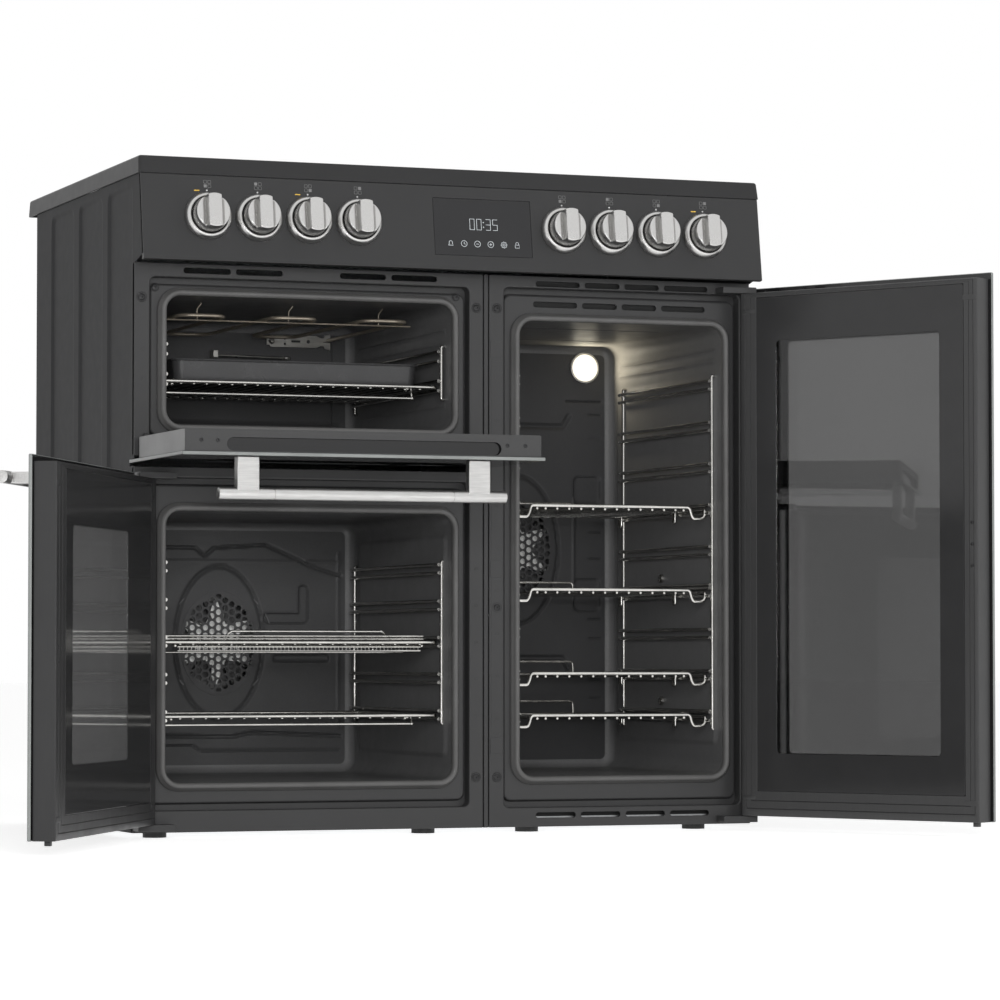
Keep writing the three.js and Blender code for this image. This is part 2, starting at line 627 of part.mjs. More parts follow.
function rightFrame() {
  const plate = box(rightFrameStart, bodyRight, frameFace, frameBack, 0, fasciaFoot - FIT);
  const returnX = bodyRight - SHEET - FIT;
  const returnBack = frameFace + FRAME_RETURN;
  const outerReturn = box(returnX - SHEET, returnX, frameFace, returnBack, 0, fasciaFoot - FIT);
  const innerReturn = box(
    rightFrameStart, rightFrameStart + SHEET, frameFace, returnBack, 0, fasciaFoot - FIT,
  );
  const hole = recessOf(TALL, TALL_RECESS);
  const vents = [
    ...ventHoles(TALL, TALL_VENTS, fasciaFoot - TALL_VENT_DROP, frameFace, frameBack),
    ...ventHoles(TALL, BASE_VENTS, BASE_VENT_RISE, frameFace, frameBack),
  ];
  const bottomReturn = box(rightFrameStart, returnX, frameFace, returnBack, 0, SHEET);
  return join(
    cut(join(plate, outerReturn, innerReturn, bottomReturn, recessEdge(hole)), recessHole(hole), vents),
    pivotBracket(tallAxisX, 1, bottomBracket, true),
    pivotBracket(tallAxisX, 1, frameTopOf(doorTop) + FIT, false),
  );
}

// ---------------------------------------------------------------- cavities
const cavityLeft = (cavity) => fromLeft(cavity.x - cavity.wide / 2);
const cavityRight = (cavity) => fromLeft(cavity.x + cavity.wide / 2);
const cavityTop = (cavity) => cavity.bottom + cavity.high;
const cavityBack = (cavity) => flangeFace + cavity.deep;

// Holes of the fan's grille, in rings of six, twelve and so on.
function grilleHoles(x, z, y) {
  const rings = Math.floor(FAN_GRILLE_RADIUS / FAN_HOLE_PITCH);
  const holes = [[x, z]];
  for (let ring = 1; ring <= rings; ring += 1) {
    for (let i = 0; i < 6 * ring; i += 1) {
      const angle = (2 * Math.PI * i) / (6 * ring);
      const radius = ring * FAN_HOLE_PITCH;
      holes.push([x + radius * Math.cos(angle), z + radius * Math.sin(angle)]);
    }
  }
  return holes.map(([hx, hz]) => bar(
    [hx, y - OVERCUT, hz], [hx, y + LINER_SHEET + OVERCUT, hz], FAN_HOLE_RADIUS, WIRE_SIDES,
  ));
}

// A cavity: a deep box with a stepped flange round its mouth and a fan chamber behind its back.
function liner(cavity, recess, fanRise, vents) {
  const x0 = cavityLeft(cavity);
  const x1 = cavityRight(cavity);
  const z1 = cavityTop(cavity);
  const back = cavityBack(cavity);
  const [rx0, rx1, rz0, rz1] = recessOf(cavity, recess);
  const wall = LINER_SHEET;
  const shell = extrude(
    roundedRect(x0 - wall, x1 + wall, cavity.bottom - wall, z1 + wall, CAVITY_RADIUS + wall),
    'xz', flangeFace, back + wall,
  );
  const lap = extrude(
    roundedRect(rx0 - FLANGE_LAP, rx1 + FLANGE_LAP, rz0 - FLANGE_LAP, rz1 + FLANGE_LAP, RECESS_RADIUS),
    'xz', grooveFloor, grooveFloor + wall,
  );
  const face = [rx0 + FLANGE_SIDE_GAP, rx1 - FLANGE_SIDE_GAP, rz0 + FLANGE_END_GAP, rz1 - FLANGE_END_GAP];
  const raised = extrude(roundedRect(...face, RECESS_RADIUS), 'xz', flangeFace, grooveFloor + wall / 2);
  const inside = extrude(
    roundedRect(x0, x1, cavity.bottom, z1, CAVITY_RADIUS), 'xz', flangeFace - OVERCUT, back,
  );
  const bodies = [shell, lap, raised];
  const cuts = [inside];
  if (fanRise) {
    const fx = fromLeft(cavity.x);
    const fz = cavity.bottom + fanRise;
    const chamberBack = back + FAN_COVER_DEEP;
    const along = (y0, y1, radius) => bar([fx, y0, fz], [fx, y1, fz], radius, ROUND_SIDES);
    bodies.push(along(back, chamberBack, FAN_COVER_RADIUS));
    cuts.push(along(back + wall, chamberBack - wall, FAN_COVER_RADIUS - wall));
    cuts.push(along(chamberBack - wall - OVERCUT, chamberBack + OVERCUT, FAN_SHAFT + FAN_SHAFT_CLEAR));
    cuts.push(...grilleHoles(fx, fz, back));
  }
  const ventZ = (z1 + SEAL_WIDE + rz1 - FLANGE_END_GAP - FRAME_VENT_HIGH) / 2;
  cuts.push(...ventHoles(cavity, vents, ventZ, flangeFace, grooveFloor + wall));
  return cut(join(bodies), cuts);
}

// The gasket round a cavity's mouth.
function seal(cavity) {
  const x0 = cavityLeft(cavity) + FIT;
  const x1 = cavityRight(cavity) - FIT;
  const z0 = cavity.bottom + FIT;
  const z1 = cavityTop(cavity) - FIT;
  const ring = roundedRect(
    x0 - SEAL_WIDE, x1 + SEAL_WIDE, z0 - SEAL_WIDE, z1 + SEAL_WIDE, CAVITY_RADIUS + SEAL_WIDE,
  );
  ring.holes.push(roundedRect(x0, x1, z0, z1, CAVITY_RADIUS, new THREE.Path()));
  const round = SEAL_WIDE / 4;
  return extrude(ring, 'xz', flangeFace - SEAL_PROUD + round, flangeFace - FIT - round, {
    bevelEnabled: true, bevelThickness: round, bevelSize: round, bevelOffset: -round, bevelSegments: 1,
  });
}

function fanWheel(cavity, rise) {
  const x = fromLeft(cavity.x);
  const z = cavity.bottom + rise;
  const y0 = cavityBack(cavity) + LINER_SHEET + FAN_GAP - FAN_HUB_DEEP / 2;
  const hub = bar([x, y0, z], [x, y0 + FAN_HUB_DEEP, z], FAN_HUB, ROUND_SIDES);
  const blades = [];
  for (let i = 0; i < FAN_BLADES; i += 1) {
    const blade = new THREE.BoxGeometry(FAN_RADIUS, SHEET, FAN_DEEP);
    blade.translate(FAN_RADIUS / 2, 0, 0).rotateX(Math.PI / 4);
    blade.rotateY((2 * Math.PI * i) / FAN_BLADES);
    blades.push(solid(blade.translate(x, y0 + FAN_HUB_DEEP / 2, z)));
  }
  const bore = bar([x, y0 - OVERCUT, z], [x, y0 + FAN_HUB_DEEP + OVERCUT, z], FAN_BORE, ROUND_SIDES);
  return cut(join(hub, blades), bore);
}

function fanMotor(cavity, rise) {
  const x = fromLeft(cavity.x);
  const z = cavity.bottom + rise;
  const mountY = cavityBack(cavity) + FAN_COVER_DEEP + FIT;
  const can = bar([x, mountY, z], [x, mountY + MOTOR_LENGTH, z], MOTOR_RADIUS, ROUND_SIDES);
  const tip = cavityBack(cavity) + LINER_SHEET + FAN_GAP - FAN_HUB_DEEP;
  return join(can, bar([x, tip, z], [x, mountY + SHEET, z], FAN_SHAFT, ROUND_SIDES));
}

function lamp() {
  const x = cavityRight(TALL) - LAMP_FROM_RIGHT;
  const z = cavityTop(TALL) - LAMP_DROP;
  const y = cavityBack(TALL) - FIT;
  return join(
    bar([x, y - LAMP_THICK / 2, z], [x, y, z], LAMP_RADIUS, ROUND_SIDES),
    bar([x, y - LAMP_THICK, z], [x, y, z], LAMP_RADIUS - LAMP_THICK / 2, ROUND_SIDES),
  );
}

// The grill's tubular element: one tube folded to and fro under the ceiling.
function grillElement() {
  const z = cavityTop(GRILL) - ELEMENT_DROP;
  const x0 = cavityLeft(GRILL) + ELEMENT_GAPS.side;
  const step = (GRILL.wide - 2 * ELEMENT_GAPS.side) / (ELEMENT_RUNS - 1);
  const near = flangeFace + ELEMENT_GAPS.front;
  const far = cavityBack(GRILL) - ELEMENT_GAPS.back;
  const points = [[x0, cavityBack(GRILL) - FIT - ELEMENT_RADIUS / 2, z]];
  for (let run = 0; run < ELEMENT_RUNS; run += 1) {
    const x = x0 + run * step;
    const ends = run % 2 ? [near, far] : [far, near];
    points.push([x, ends[0], z], [x, ends[1], z]);
  }
  points.push([x0 + (ELEMENT_RUNS - 1) * step, cavityBack(GRILL) - FIT - ELEMENT_RADIUS / 2, z]);
  return join(wire(points, ELEMENT_RADIUS));
}

// ---------------------------------------------------------------- shelf racks
function levelsOf(cavity, first, pitch) {
  const count = 1 + Math.floor((cavity.high - LEVEL_HEADROOM - first) / pitch);
  return Array.from({ length: count }, (_, i) => cavity.bottom + first + i * pitch);
}
const tallLevels = levelsOf(TALL, TALL_LEVEL_FIRST, TALL_LEVEL_PITCH);
const mainLevels = levelsOf(MAIN, MAIN_LEVEL_FIRST, MAIN_LEVEL_PITCH);
const grillRungs = GRILL_RUNG_RISES.map((rise) => GRILL.bottom + rise);

// A wire rack on one wall of a cavity: two uprights, rungs across them, and fixings to the wall.
function rack(cavity, side, rungs, frontY, rearY) {
  const wallX = side < 0 ? cavityLeft(cavity) : cavityRight(cavity);
  const uprightX = wallX - side * UPRIGHT_OFF_WALL;
  const rungX = wallX - side * RACK_OFF_WALL;
  const low = Math.min(...rungs) - RUNG_PAIR;
  const high = Math.max(...rungs) + RUNG_PAIR / 2;
  const parts = [];
  for (const y of [frontY, rearY]) {
    parts.push(bar([uprightX, y, low], [uprightX, y, high], RACK_WIRE));
    for (const z of [low + RACK_WIRE, high - RACK_WIRE]) {
      parts.push(bar([uprightX, y, z], [wallX - side * FIT, y, z], RACK_WIRE));
    }
  }
  for (const z of rungs) {
    parts.push(bar([rungX, frontY - RACK_WIRE, z], [rungX, rearY + RUNG_RUN_OUT, z], RACK_WIRE));
  }
  return join(parts);
}

const pairs = (levels) => levels.flatMap((z) => [z, z + RUNG_PAIR]);
const rackFront = (kind) => flangeFace + RACK_FRONT[kind];
const rackRear = (cavity, kind) => cavityBack(cavity) - RACK_REAR_GAP[kind];

// The grill's rack is one cradle: its two sides are joined along the back wall.
function grillRack() {
  const rearY = rackRear(GRILL, 'grill');
  const z = grillRungs[1];
  const reach = GRILL.wide / 2 - RACK_OFF_WALL;
  const x = fromLeft(GRILL.x);
  const tieY = rearY + RUNG_RUN_OUT - RACK_WIRE;
  return join(
    rack(GRILL, -1, grillRungs, rackFront('grill'), rearY),
    rack(GRILL, 1, grillRungs, rackFront('grill'), rearY),
    bar([x - reach, tieY, z], [x + reach, tieY, z], RACK_WIRE),
  );
}

// ---------------------------------------------------------------- shelves
const railRise = RACK_WIRE + RAIL_WIRE; // shelf rail above the rung that carries it
const deckDrop = (RAIL_WIRE + DECK_WIRE) / 2; // deck below the rails

// A wire shelf on a rung: side rails, a front and a rear bar, the deck and a raised rear guard.
function shelf(cavity, rungZ, stepped, rearGap) {
  const x = fromLeft(cavity.x);
  const half = cavity.wide / 2 - SHELF_OFF_WALL;
  const hook = half - SHELF_HOOK;
  const z = rungZ + railRise;
  const y0 = flangeFace + SHELF_FRONT;
  const y1 = cavityBack(cavity) - rearGap;
  const inner = half - SHELF_STEP;
  const barZ = z + (stepped ? SHELF_BAR_RISE : 0);
  const parts = [];
  for (const s of [-1, 1]) {
    parts.push(...wire([[x + s * half, y0, z], [x + s * half, y1, z]], RAIL_WIRE));
    if (stepped) {
      parts.push(...wire([
        [x + s * half, y0, z],
        [x + s * hook, y0, z],
        [x + s * hook, y0, z - SHELF_STEP_DROP],
        [x + s * (inner + RAIL_WIRE), y0, z - SHELF_STEP_DROP],
        [x + s * inner, y0, barZ],
      ], RAIL_WIRE));
    }
  }
  const reach = stepped ? inner : half;
  parts.push(...wire([[x - reach, y0, barZ], [x + reach, y0, barZ]], RAIL_WIRE));
  parts.push(...wire([[x - half, y1, z], [x + half, y1, z]], RAIL_WIRE));
  const deckZ = z - deckDrop + (stepped ? DECK_RISE : 0);
  for (let i = 0; i < DECK_WIRES; i += 1) {
    const wx = x - inner + (2 * inner * (i + 0.5)) / DECK_WIRES;
    parts.push(bar([wx, y0, deckZ], [wx, y1, deckZ], DECK_WIRE));
  }
  const guard = SHELF_GUARD_HALF;
  parts.push(...wire([
    [x - guard, y1, z],
    [x - guard, y1, z + SHELF_GUARD_HIGH],
    [x + guard, y1, z + SHELF_GUARD_HIGH],
    [x + guard, y1, z],
  ], DECK_WIRE));
  return join(parts);
}

// The pan that stands on the grill's shelf.
function grillPan(rungZ) {
  const x = fromLeft(GRILL.x);
  const half = GRILL.wide / 2 - SHELF_OFF_WALL - PAN_INSET;
  const bottom = rungZ + railRise - deckDrop + DECK_WIRE + FIT;
  const y0 = flangeFace + SHELF_FRONT + PAN_INSET;
  const y1 = cavityBack(GRILL) - SHELF_REAR_GAP.left - PAN_REAR_INSET;
  const tray = (wall, from, to) => extrude(
    roundedRect(x - half + wall, x + half - wall, y0 + wall, y1 - wall, PAN_RADIUS - wall), 'xy', from, to,
  );
  const top = bottom + PAN_HIGH;
  return cut(tray(0, bottom, top), tray(PAN_WALL, bottom + PAN_WALL, top + OVERCUT));
}

// ---------------------------------------------------------------- hob and fascia
// A slab whose foot is larger than its top, from two rectangles.
function taperedSlab(foot, top, z0, z1) {
  const corners = [foot, top].flatMap(([x0, x1, y0, y1], i) => {
    const z = i ? z1 : z0;
    return [[x0, y0, z], [x1, y0, z], [x1, y1, z], [x0, y1, z]];
  });
  const geometry = new THREE.BufferGeometry();
  geometry.setAttribute('position', new THREE.Float32BufferAttribute(corners.flat(), 3));
  geometry.setIndex([
    0, 2, 1, 0, 3, 2, 4, 5, 6, 4, 6, 7, 0, 1, 5, 0, 5, 4,
    1, 2, 6, 1, 6, 5, 2, 3, 7, 2, 7, 6, 3, 0, 4, 3, 4, 7,
  ]);
  return solid(geometry);
}

const hobEdge = [left, -left, front, -front];
const inset = ([x0, x1, y0, y1], by) => [x0 + by, x1 - by, y0 + by, y1 - by];

function hobFrame() {
  const drafted = inset(hobEdge, -HOB_END_DRAFT);
  const foot = [drafted[0], drafted[1], front - HOB_FRONT_LEAN, drafted[3]];
  const glassSeat = HEIGHT - HOB_GLASS - FIT;
  const ledge = glassSeat - HOB_LIP_THICK;
  return cut(
    taperedSlab(foot, hobEdge, hobBottom, HEIGHT),
    box(...inset(hobEdge, HOB_GLASS_MARGIN), glassSeat, HEIGHT + OVERCUT),
    box(...inset(hobEdge, HOB_WALL), hobBottom - OVERCUT, ledge),
    box(...inset(hobEdge, HOB_GLASS_MARGIN + HOB_LIP), ledge - OVERCUT, glassSeat + OVERCUT),
  );
}

function hobGlass() {
  const [x0, x1, y0, y1] = inset(hobEdge, HOB_GLASS_MARGIN + FIT);
  return extrude(roundedRect(x0, x1, y0, y1, HOB_GLASS), 'xy', HEIGHT - HOB_GLASS, HEIGHT);
}

// Radiant heaters on the two rails that hold them up against the glass.
function hobHeaters() {
  const top = HEIGHT - HOB_GLASS - FIT - HOB_LIP_THICK - FIT;
  const bottom = top - HEATER_HIGH;
  const [x0, x1, y0, y1] = inset(hobEdge, HOB_WALL + FIT);
  const [leftX, middleX, rightX] = HEATER_COLUMNS.map((share) => x0 + share * (x1 - x0));
  const [nearY, farY] = HEATER_ROWS.map((share) => y0 + share * (y1 - y0));
  const { small, medium, large } = HEATER_RADII;
  const pans = [
    [leftX, nearY, small], [leftX, farY, medium], [middleX, (nearY + farY) / 2, large],
    [rightX, nearY, medium], [rightX, farY, small],
  ].map(([x, y, radius]) => bar([x, y, bottom], [x, y, top], radius, ROUND_SIDES));
  const half = HEATER_BAR / 2;
  const barTop = bottom + 2 * SHEET;
  const rails = [nearY, farY].map((y) => box(x0, x1, y - half, y + half, bottom, barTop));
  const tie = box(middleX - half, middleX + half, nearY, farY, bottom, barTop);
  return join(pans, rails, tie);
}

// The fascia's own plane: u along it upwards from its foot, v out of its face.
const fasciaTilt = Math.atan2(FASCIA_LEAN, FASCIA_HIGH);
const fasciaUp = new THREE.Vector3(0, Math.sin(fasciaTilt), Math.cos(fasciaTilt));
const fasciaOut = new THREE.Vector3(0, -Math.cos(fasciaTilt), Math.sin(fasciaTilt));
function onFascia(x, u, v) {
  const point = new THREE.Vector3(fromLeft(x), fasciaFootY, fasciaFoot);
  return point.addScaledVector(fasciaUp, u).addScaledVector(fasciaOut, v).toArray();
}

// A box laid in the fascia's plane.
function fasciaBox(x0, x1, u0, u1, v0, v1) {
  const geometry = new THREE.BoxGeometry(x1 - x0, v1 - v0, u1 - u0);
  geometry.rotateX(-fasciaTilt);
  return solid(geometry.translate(...onFascia((x0 + x1) / 2, (u0 + u1) / 2, (v0 + v1) / 2)));
}

// Along the fascia: a free stretch, four knobs, another, the display, a third, four knobs, the last.
const knobRow = (KNOBS_PER_SIDE - 1) * KNOB_PITCH + 2 * BEZEL_OUTER;
const stretched = (WIDTH - 2 * knobRow - DISPLAY_WIDE) / FASCIA_STRETCHES.reduce((sum, part) => sum + part);
const [toKnobs, toDisplay, fromDisplay] = FASCIA_STRETCHES.map((part) => part * stretched);
const displayFrom = toKnobs + knobRow + toDisplay;
const displayTo = displayFrom + DISPLAY_WIDE;
const knobPlaces = [toKnobs, displayTo + fromDisplay].flatMap((start) => (
  Array.from({ length: KNOBS_PER_SIDE }, (_, i) => start + BEZEL_OUTER + i * KNOB_PITCH)
));
const displayTop = FASCIA_HIGH / Math.cos(fasciaTilt) - DISPLAY_DROP;

function fascia() {
  const t = FASCIA_SHEET;
  const profile = outline([
    [fasciaFootY, fasciaFoot],
    [fasciaFootY + FASCIA_RETURN, fasciaFoot],
    [fasciaFootY + FASCIA_RETURN, fasciaFoot + t],
    [fasciaFootY + t, fasciaFoot + t],
    [fasciaTopY + t, fasciaTop - t],
    [fasciaTopY + FASCIA_RETURN, fasciaTop - t],
    [fasciaTopY + FASCIA_RETURN, fasciaTop],
    [fasciaTopY, fasciaTop],
  ]);
  const skin = extrude(profile, 'yz', bodyLeft, bodyRight);
  const notch = FASCIA_RETURN + 2 * OVERCUT;
  const sideRoom = SHEET + FIT;
  const behindSkin = () => outline([
    [fasciaFootY + t, fasciaFoot - OVERCUT],
    [fasciaFootY + notch, fasciaFoot - OVERCUT],
    [fasciaTopY + notch, fasciaTop + OVERCUT],
    [fasciaTopY + t, fasciaTop + OVERCUT],
  ]);
  const endCuts = [
    extrude(behindSkin(), 'yz', bodyLeft - OVERCUT, bodyLeft + sideRoom),
    extrude(behindSkin(), 'yz', bodyRight - sideRoom, bodyRight + OVERCUT),
  ];
  const shafts = knobPlaces.map((x) => bar(
    onFascia(x, KNOB_RISE, -3 * t), onFascia(x, KNOB_RISE, 2 * t), KNOB_HOLE, ROUND_SIDES,
  ));
  const window = fasciaBox(
    displayFrom - FIT, displayTo + FIT, displayTop - DISPLAY_HIGH - FIT, displayTop + FIT, -3 * t, 2 * t,
  );
  const bezels = knobPlaces.map((x) => cut(
    bar(onFascia(x, KNOB_RISE, -t / 2), onFascia(x, KNOB_RISE, BEZEL_HIGH), BEZEL_OUTER, ROUND_SIDES),
    bar(onFascia(x, KNOB_RISE, 0), onFascia(x, KNOB_RISE, BEZEL_HIGH + OVERCUT), BEZEL_INNER, ROUND_SIDES),
  ));
  return cut(join(cut(skin, endCuts, window), bezels), shafts);
}

function displayGlass() {
  const foot = displayTop - DISPLAY_HIGH;
  const plate = fasciaBox(displayFrom, displayTo, foot, displayTop, -DISPLAY_GLASS, 0);
  const lap = DISPLAY_GLASS;
  const behind = -FASCIA_SHEET - FIT;
  const back = fasciaBox(
    displayFrom - lap, displayTo + lap, foot - lap, displayTop + lap, behind - lap, behind,
  );
  return join(plate, back);
}

// A control knob, built about the origin with its axis along -Y.
function knob() {
  const body = bar([0, -KNOB_BODY_FROM, 0], [0, -KNOB_BODY_TO, 0], KNOB_RADIUS, ROUND_SIDES);
  const grip = box(
    -KNOB_GRIP_WIDE / 2, KNOB_GRIP_WIDE / 2, -KNOB_GRIP_TO, -KNOB_BODY_TO / 2, -KNOB_RADIUS, KNOB_RADIUS,
  );
  const round = bar([0, -KNOB_BODY_FROM, 0], [0, -KNOB_GRIP_TO, 0], KNOB_RADIUS, ROUND_SIDES);
  const shaft = bar([0, KNOB_SHAFT_BACK, 0], [0, -KNOB_BODY_TO / 2, 0], KNOB_SHAFT, ROUND_SIDES);
  return join(body, grip.intersect(round), shaft);
}

// ---------------------------------------------------------------- doors
// A door's handle, along X and centred on x: a bar, half of it to each side, on two posts.
function handle(x, half, barZ, faceY) {
  const barY = faceY - HANDLE_PROUD;
  const rod = bar([x - half, barY, barZ], [x + half, barY, barZ], HANDLE_RADIUS, ROUND_SIDES);
  const posts = [-1, 1].map((s) => {
    const post = x + s * (half - HANDLE_POST_INSET);
    return box(
      post - HANDLE_POST_WIDE / 2, post + HANDLE_POST_WIDE / 2, barY, faceY - FIT,
      barZ - HANDLE_POST_THICK / 2, barZ + HANDLE_POST_THICK / 2,
    );
  });
  return join(rod, posts);
}

// The inner frame of a door: a ring behind the outer glass with a rebate for the inner glass. Its
// span and the glass's are left, right, bottom and top.
function doorRing([x0, x1, z0, z1], pane) {
  const y0 = doorFace + DOOR_GLASS + FIT;
  const lap = INNER_GLASS_LAP;
  const behind = doorInner + OVERCUT;
  return cut(
    box(x0, x1, y0, doorInner, z0, z1),
    box(pane[0] + lap, pane[1] - lap, y0 - OVERCUT, behind, pane[2] + lap, pane[3] - lap),
    box(pane[0] - FIT, pane[1] + FIT, doorInner - INNER_GLASS - FIT, behind, pane[2] - FIT, pane[3] + FIT),
  );
}

function doorPane([x0, x1, z0, z1]) {
  return box(x0, x1, doorInner - INNER_GLASS, doorInner, z0, z1);
}

function doorGlass(x0, x1, z0, z1) {
  return extrude(roundedRect(x0, x1, z0, z1, DOOR_CORNER), 'xz', doorFace, doorFace + DOOR_GLASS);
}

// A group that turns a door, drawn shut, about its pivot.
function swing(x, y, z, axis, degrees) {
  const turned = new THREE.Group();
  turned.position.set(x, y, z);
  turned.rotation[axis] = THREE.MathUtils.degToRad(degrees);
  const shut = new THREE.Group();
  shut.position.set(-x, -y, -z);
  turned.add(shut);
  object.add(turned);
  return shut;
}

function sideDoor(name, x0, x1, top, rails, axisX, degrees) {
  const hinge = swing(axisX, sideAxisY, 0, 'z', degrees);
  const hingeLeft = axisX < (x0 + x1) / 2;
  const rx0 = x0 + (hingeLeft ? 0 : DOOR_EDGE_INSET);
  const rx1 = x1 - (hingeLeft ? DOOR_EDGE_INSET : 0);
  const z0 = DOOR_BOTTOM;
  const z1 = frameTopOf(top);
  const [leftRail, rightRail] = hingeLeft ? [rails.hinge, rails.free] : [rails.free, rails.hinge];
  const pane = [rx0 + leftRail, rx1 - rightRail, z0 + rails.bottom, z1 - rails.top];
  const socketDeep = PIVOT_DEEP + OVERCUT;
  const sockets = [z0, z1].map((z) => bar(
    [axisX, sideAxisY, z - socketDeep], [axisX, sideAxisY, z + socketDeep], PIVOT_HOLE, ROUND_SIDES,
  ));
  piece(`${name}_door_glass`, doorGlass(x0, x1, DOOR_BOTTOM, top), 'panelGlass', hinge);
  piece(`${name}_door_frame`, cut(doorRing([rx0, rx1, z0, z1], pane), sockets), 'aluminium', hinge);
  piece(`${name}_door_inner_glass`, doorPane(pane), 'innerGlass', hinge);
  const half = (x1 - x0) / 2 - HANDLE_FROM_END.side;
  const rod = handle((x0 + x1) / 2, half, top - HANDLE_FROM_EDGE.side, doorFace);
  piece(`${name}_door_handle`, rod, 'satin', hinge);
}

function grillDoor() {
  const hinge = swing(0, grillAxisY, grillHingeZ, 'x', GRILL_DOOR_OPEN);
  const x0 = bodyLeft;
  const x1 = fromLeft(leftDoorEnd);
  const rx0 = x0 + DOOR_EDGE_INSET;
  const rx1 = x1 - DOOR_EDGE_INSET;
  const z0 = grillHingeZ + GRILL_FRAME_RISE;
  const z1 = doorTop - DOOR_EDGE_INSET;
  const slot = box(
    x0 + GRILL_SLOT_INSET, x1 - GRILL_SLOT_INSET, doorFace, doorFace + DOOR_GLASS + GRILL_SLOT_DEEP,
    z1 - GRILL_RAILS.top - INNER_GLASS_LAP - OVERCUT, z1 + OVERCUT,
  );
  const [holeLeft, holeRight] = recessOf(GRILL, GRILL_RECESS);
  const eyes = [[holeLeft, 1], [holeRight, -1]].map(([edge, inwards]) => {
    const a = edge + inwards * EYE_INSET;
    const b = edge + inwards * (EYE_INSET + EYE_WIDE);
    const span = [Math.min(a, b), Math.max(a, b)];
    const arm = box(...span, grillAxisY - 2 * EYE_RADIUS, grillAxisY, grillHingeZ, z0 + EYE_RADIUS);
    const bore = pivotBar(span[0] - OVERCUT, span[1] + OVERCUT, PIVOT_HOLE);
    return { solid: join(pivotBar(...span, EYE_RADIUS), arm), bore };
  });
  const rails = GRILL_RAILS;
  const pane = [rx0 + rails.hinge, rx1 - rails.free, z0 + rails.bottom, z1 - rails.top];
  const ring = cut(doorRing([rx0, rx1, z0, z1], pane), slot);
  const frame = cut(join(ring, eyes.map((eye) => eye.solid)), eyes.map((eye) => eye.bore));
  const glass = doorGlass(x0, x1, grillHingeZ - GRILL_GLASS_DROP, doorTop);
  piece('grill_door_glass', glass, 'panelGlass', hinge);
  piece('grill_door_frame', frame, 'aluminium', hinge);
  piece('grill_door_inner_glass', doorPane(pane), 'innerGlass', hinge);
  const half = (x1 - x0) / 2 - HANDLE_FROM_END.grill;
  const rod = handle((x0 + x1) / 2, half, doorTop - HANDLE_FROM_EDGE.grill, doorFace);
  piece('grill_door_handle', rod, 'satin', hinge);
}

// ---------------------------------------------------------------- assembly
piece('base_pan', basePan(), 'zinc');
feetX.forEach((x, i) => piece(`front_foot_${i + 1}`, foot(x), 'rubber'));
piece('left_side_panel', sidePanel(-1), 'enamel');
piece('right_side_panel', sidePanel(1), 'enamel');
piece('back_panel', backPanel(), 'zinc');
piece('left_front_frame', leftFrame(), 'enamel');
piece('right_front_frame', rightFrame(), 'enamel');

piece('grill_liner', liner(GRILL, GRILL_RECESS, 0, []), 'cavity');
piece('main_liner', liner(MAIN, MAIN_RECESS, FAN_RISE.main, []), 'cavity');
piece('tall_liner', liner(TALL, TALL_RECESS, FAN_RISE.tall, TALL_VENTS), 'cavity');
piece('grill_seal', seal(GRILL), 'gasket');
piece('main_seal', seal(MAIN), 'gasket');
piece('tall_seal', seal(TALL), 'gasket');
piece('grill_element', grillElement(), 'chrome');
piece('tall_oven_lamp', lamp(), 'lamp');
piece('main_fan', fanWheel(MAIN, FAN_RISE.main), 'zinc');
piece('tall_fan', fanWheel(TALL, FAN_RISE.tall), 'zinc');
piece('main_fan_motor', fanMotor(MAIN, FAN_RISE.main), 'zinc');
piece('tall_fan_motor', fanMotor(TALL, FAN_RISE.tall), 'zinc');

piece('grill_rack', grillRack(), 'chrome');
[['left', -1], ['right', 1]].forEach(([label, side]) => {
  const inMain = rack(MAIN, side, pairs(mainLevels), rackFront('main'), rackRear(MAIN, 'main'));
  const inTall = rack(TALL, side, pairs(tallLevels), rackFront('tall'), rackRear(TALL, 'tall'));
  piece(`main_rack_${label}`, inMain, 'chrome');
  piece(`tall_rack_${label}`, inTall, 'chrome');
});

piece('grill_shelf', shelf(GRILL, grillRungs[0], false, SHELF_REAR_GAP.left), 'chrome');
piece('grill_pan', grillPan(grillRungs[0]), 'cavity');
MAIN_SHELF_LEVELS.forEach((level, i) => (
  piece(`main_shelf_${i + 1}`, shelf(MAIN, mainLevels[level], false, SHELF_REAR_GAP.left), 'chrome')
));
TALL_SHELF_LEVELS.forEach((level, i) => (
  piece(`tall_shelf_${i + 1}`, shelf(TALL, tallLevels[level], true, SHELF_REAR_GAP.tall), 'chrome')
));

piece('fascia', fascia(), 'enamel');
piece('display_glass', displayGlass(), 'blackGlass');
knobPlaces.forEach((x, i) => {
  const mesh = piece(`knob_${i + 1}`, knob(), 'satin');
  mesh.position.set(...onFascia(x, KNOB_RISE, 0));
  mesh.rotation.x = -fasciaTilt;
});
piece('hob_frame', hobFrame(), 'enamel');
piece('hob_glass', hobGlass(), 'hobGlass');
piece('hob_heaters', hobHeaters(), 'zinc');

sideDoor('main', bodyLeft, fromLeft(leftDoorEnd), mainDoorTop, MAIN_RAILS, mainAxisX, -SIDE_DOOR_OPEN);
sideDoor('tall', fromLeft(rightDoorStart), bodyRight, doorTop, TALL_RAILS, tallAxisX, SIDE_DOOR_OPEN);
grillDoor();

export default object;
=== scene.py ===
import json
from math import atan2, cos, hypot, pi, radians, sin, sqrt

import bmesh
import bpy
import numpy as np
from mathutils import Matrix, Vector


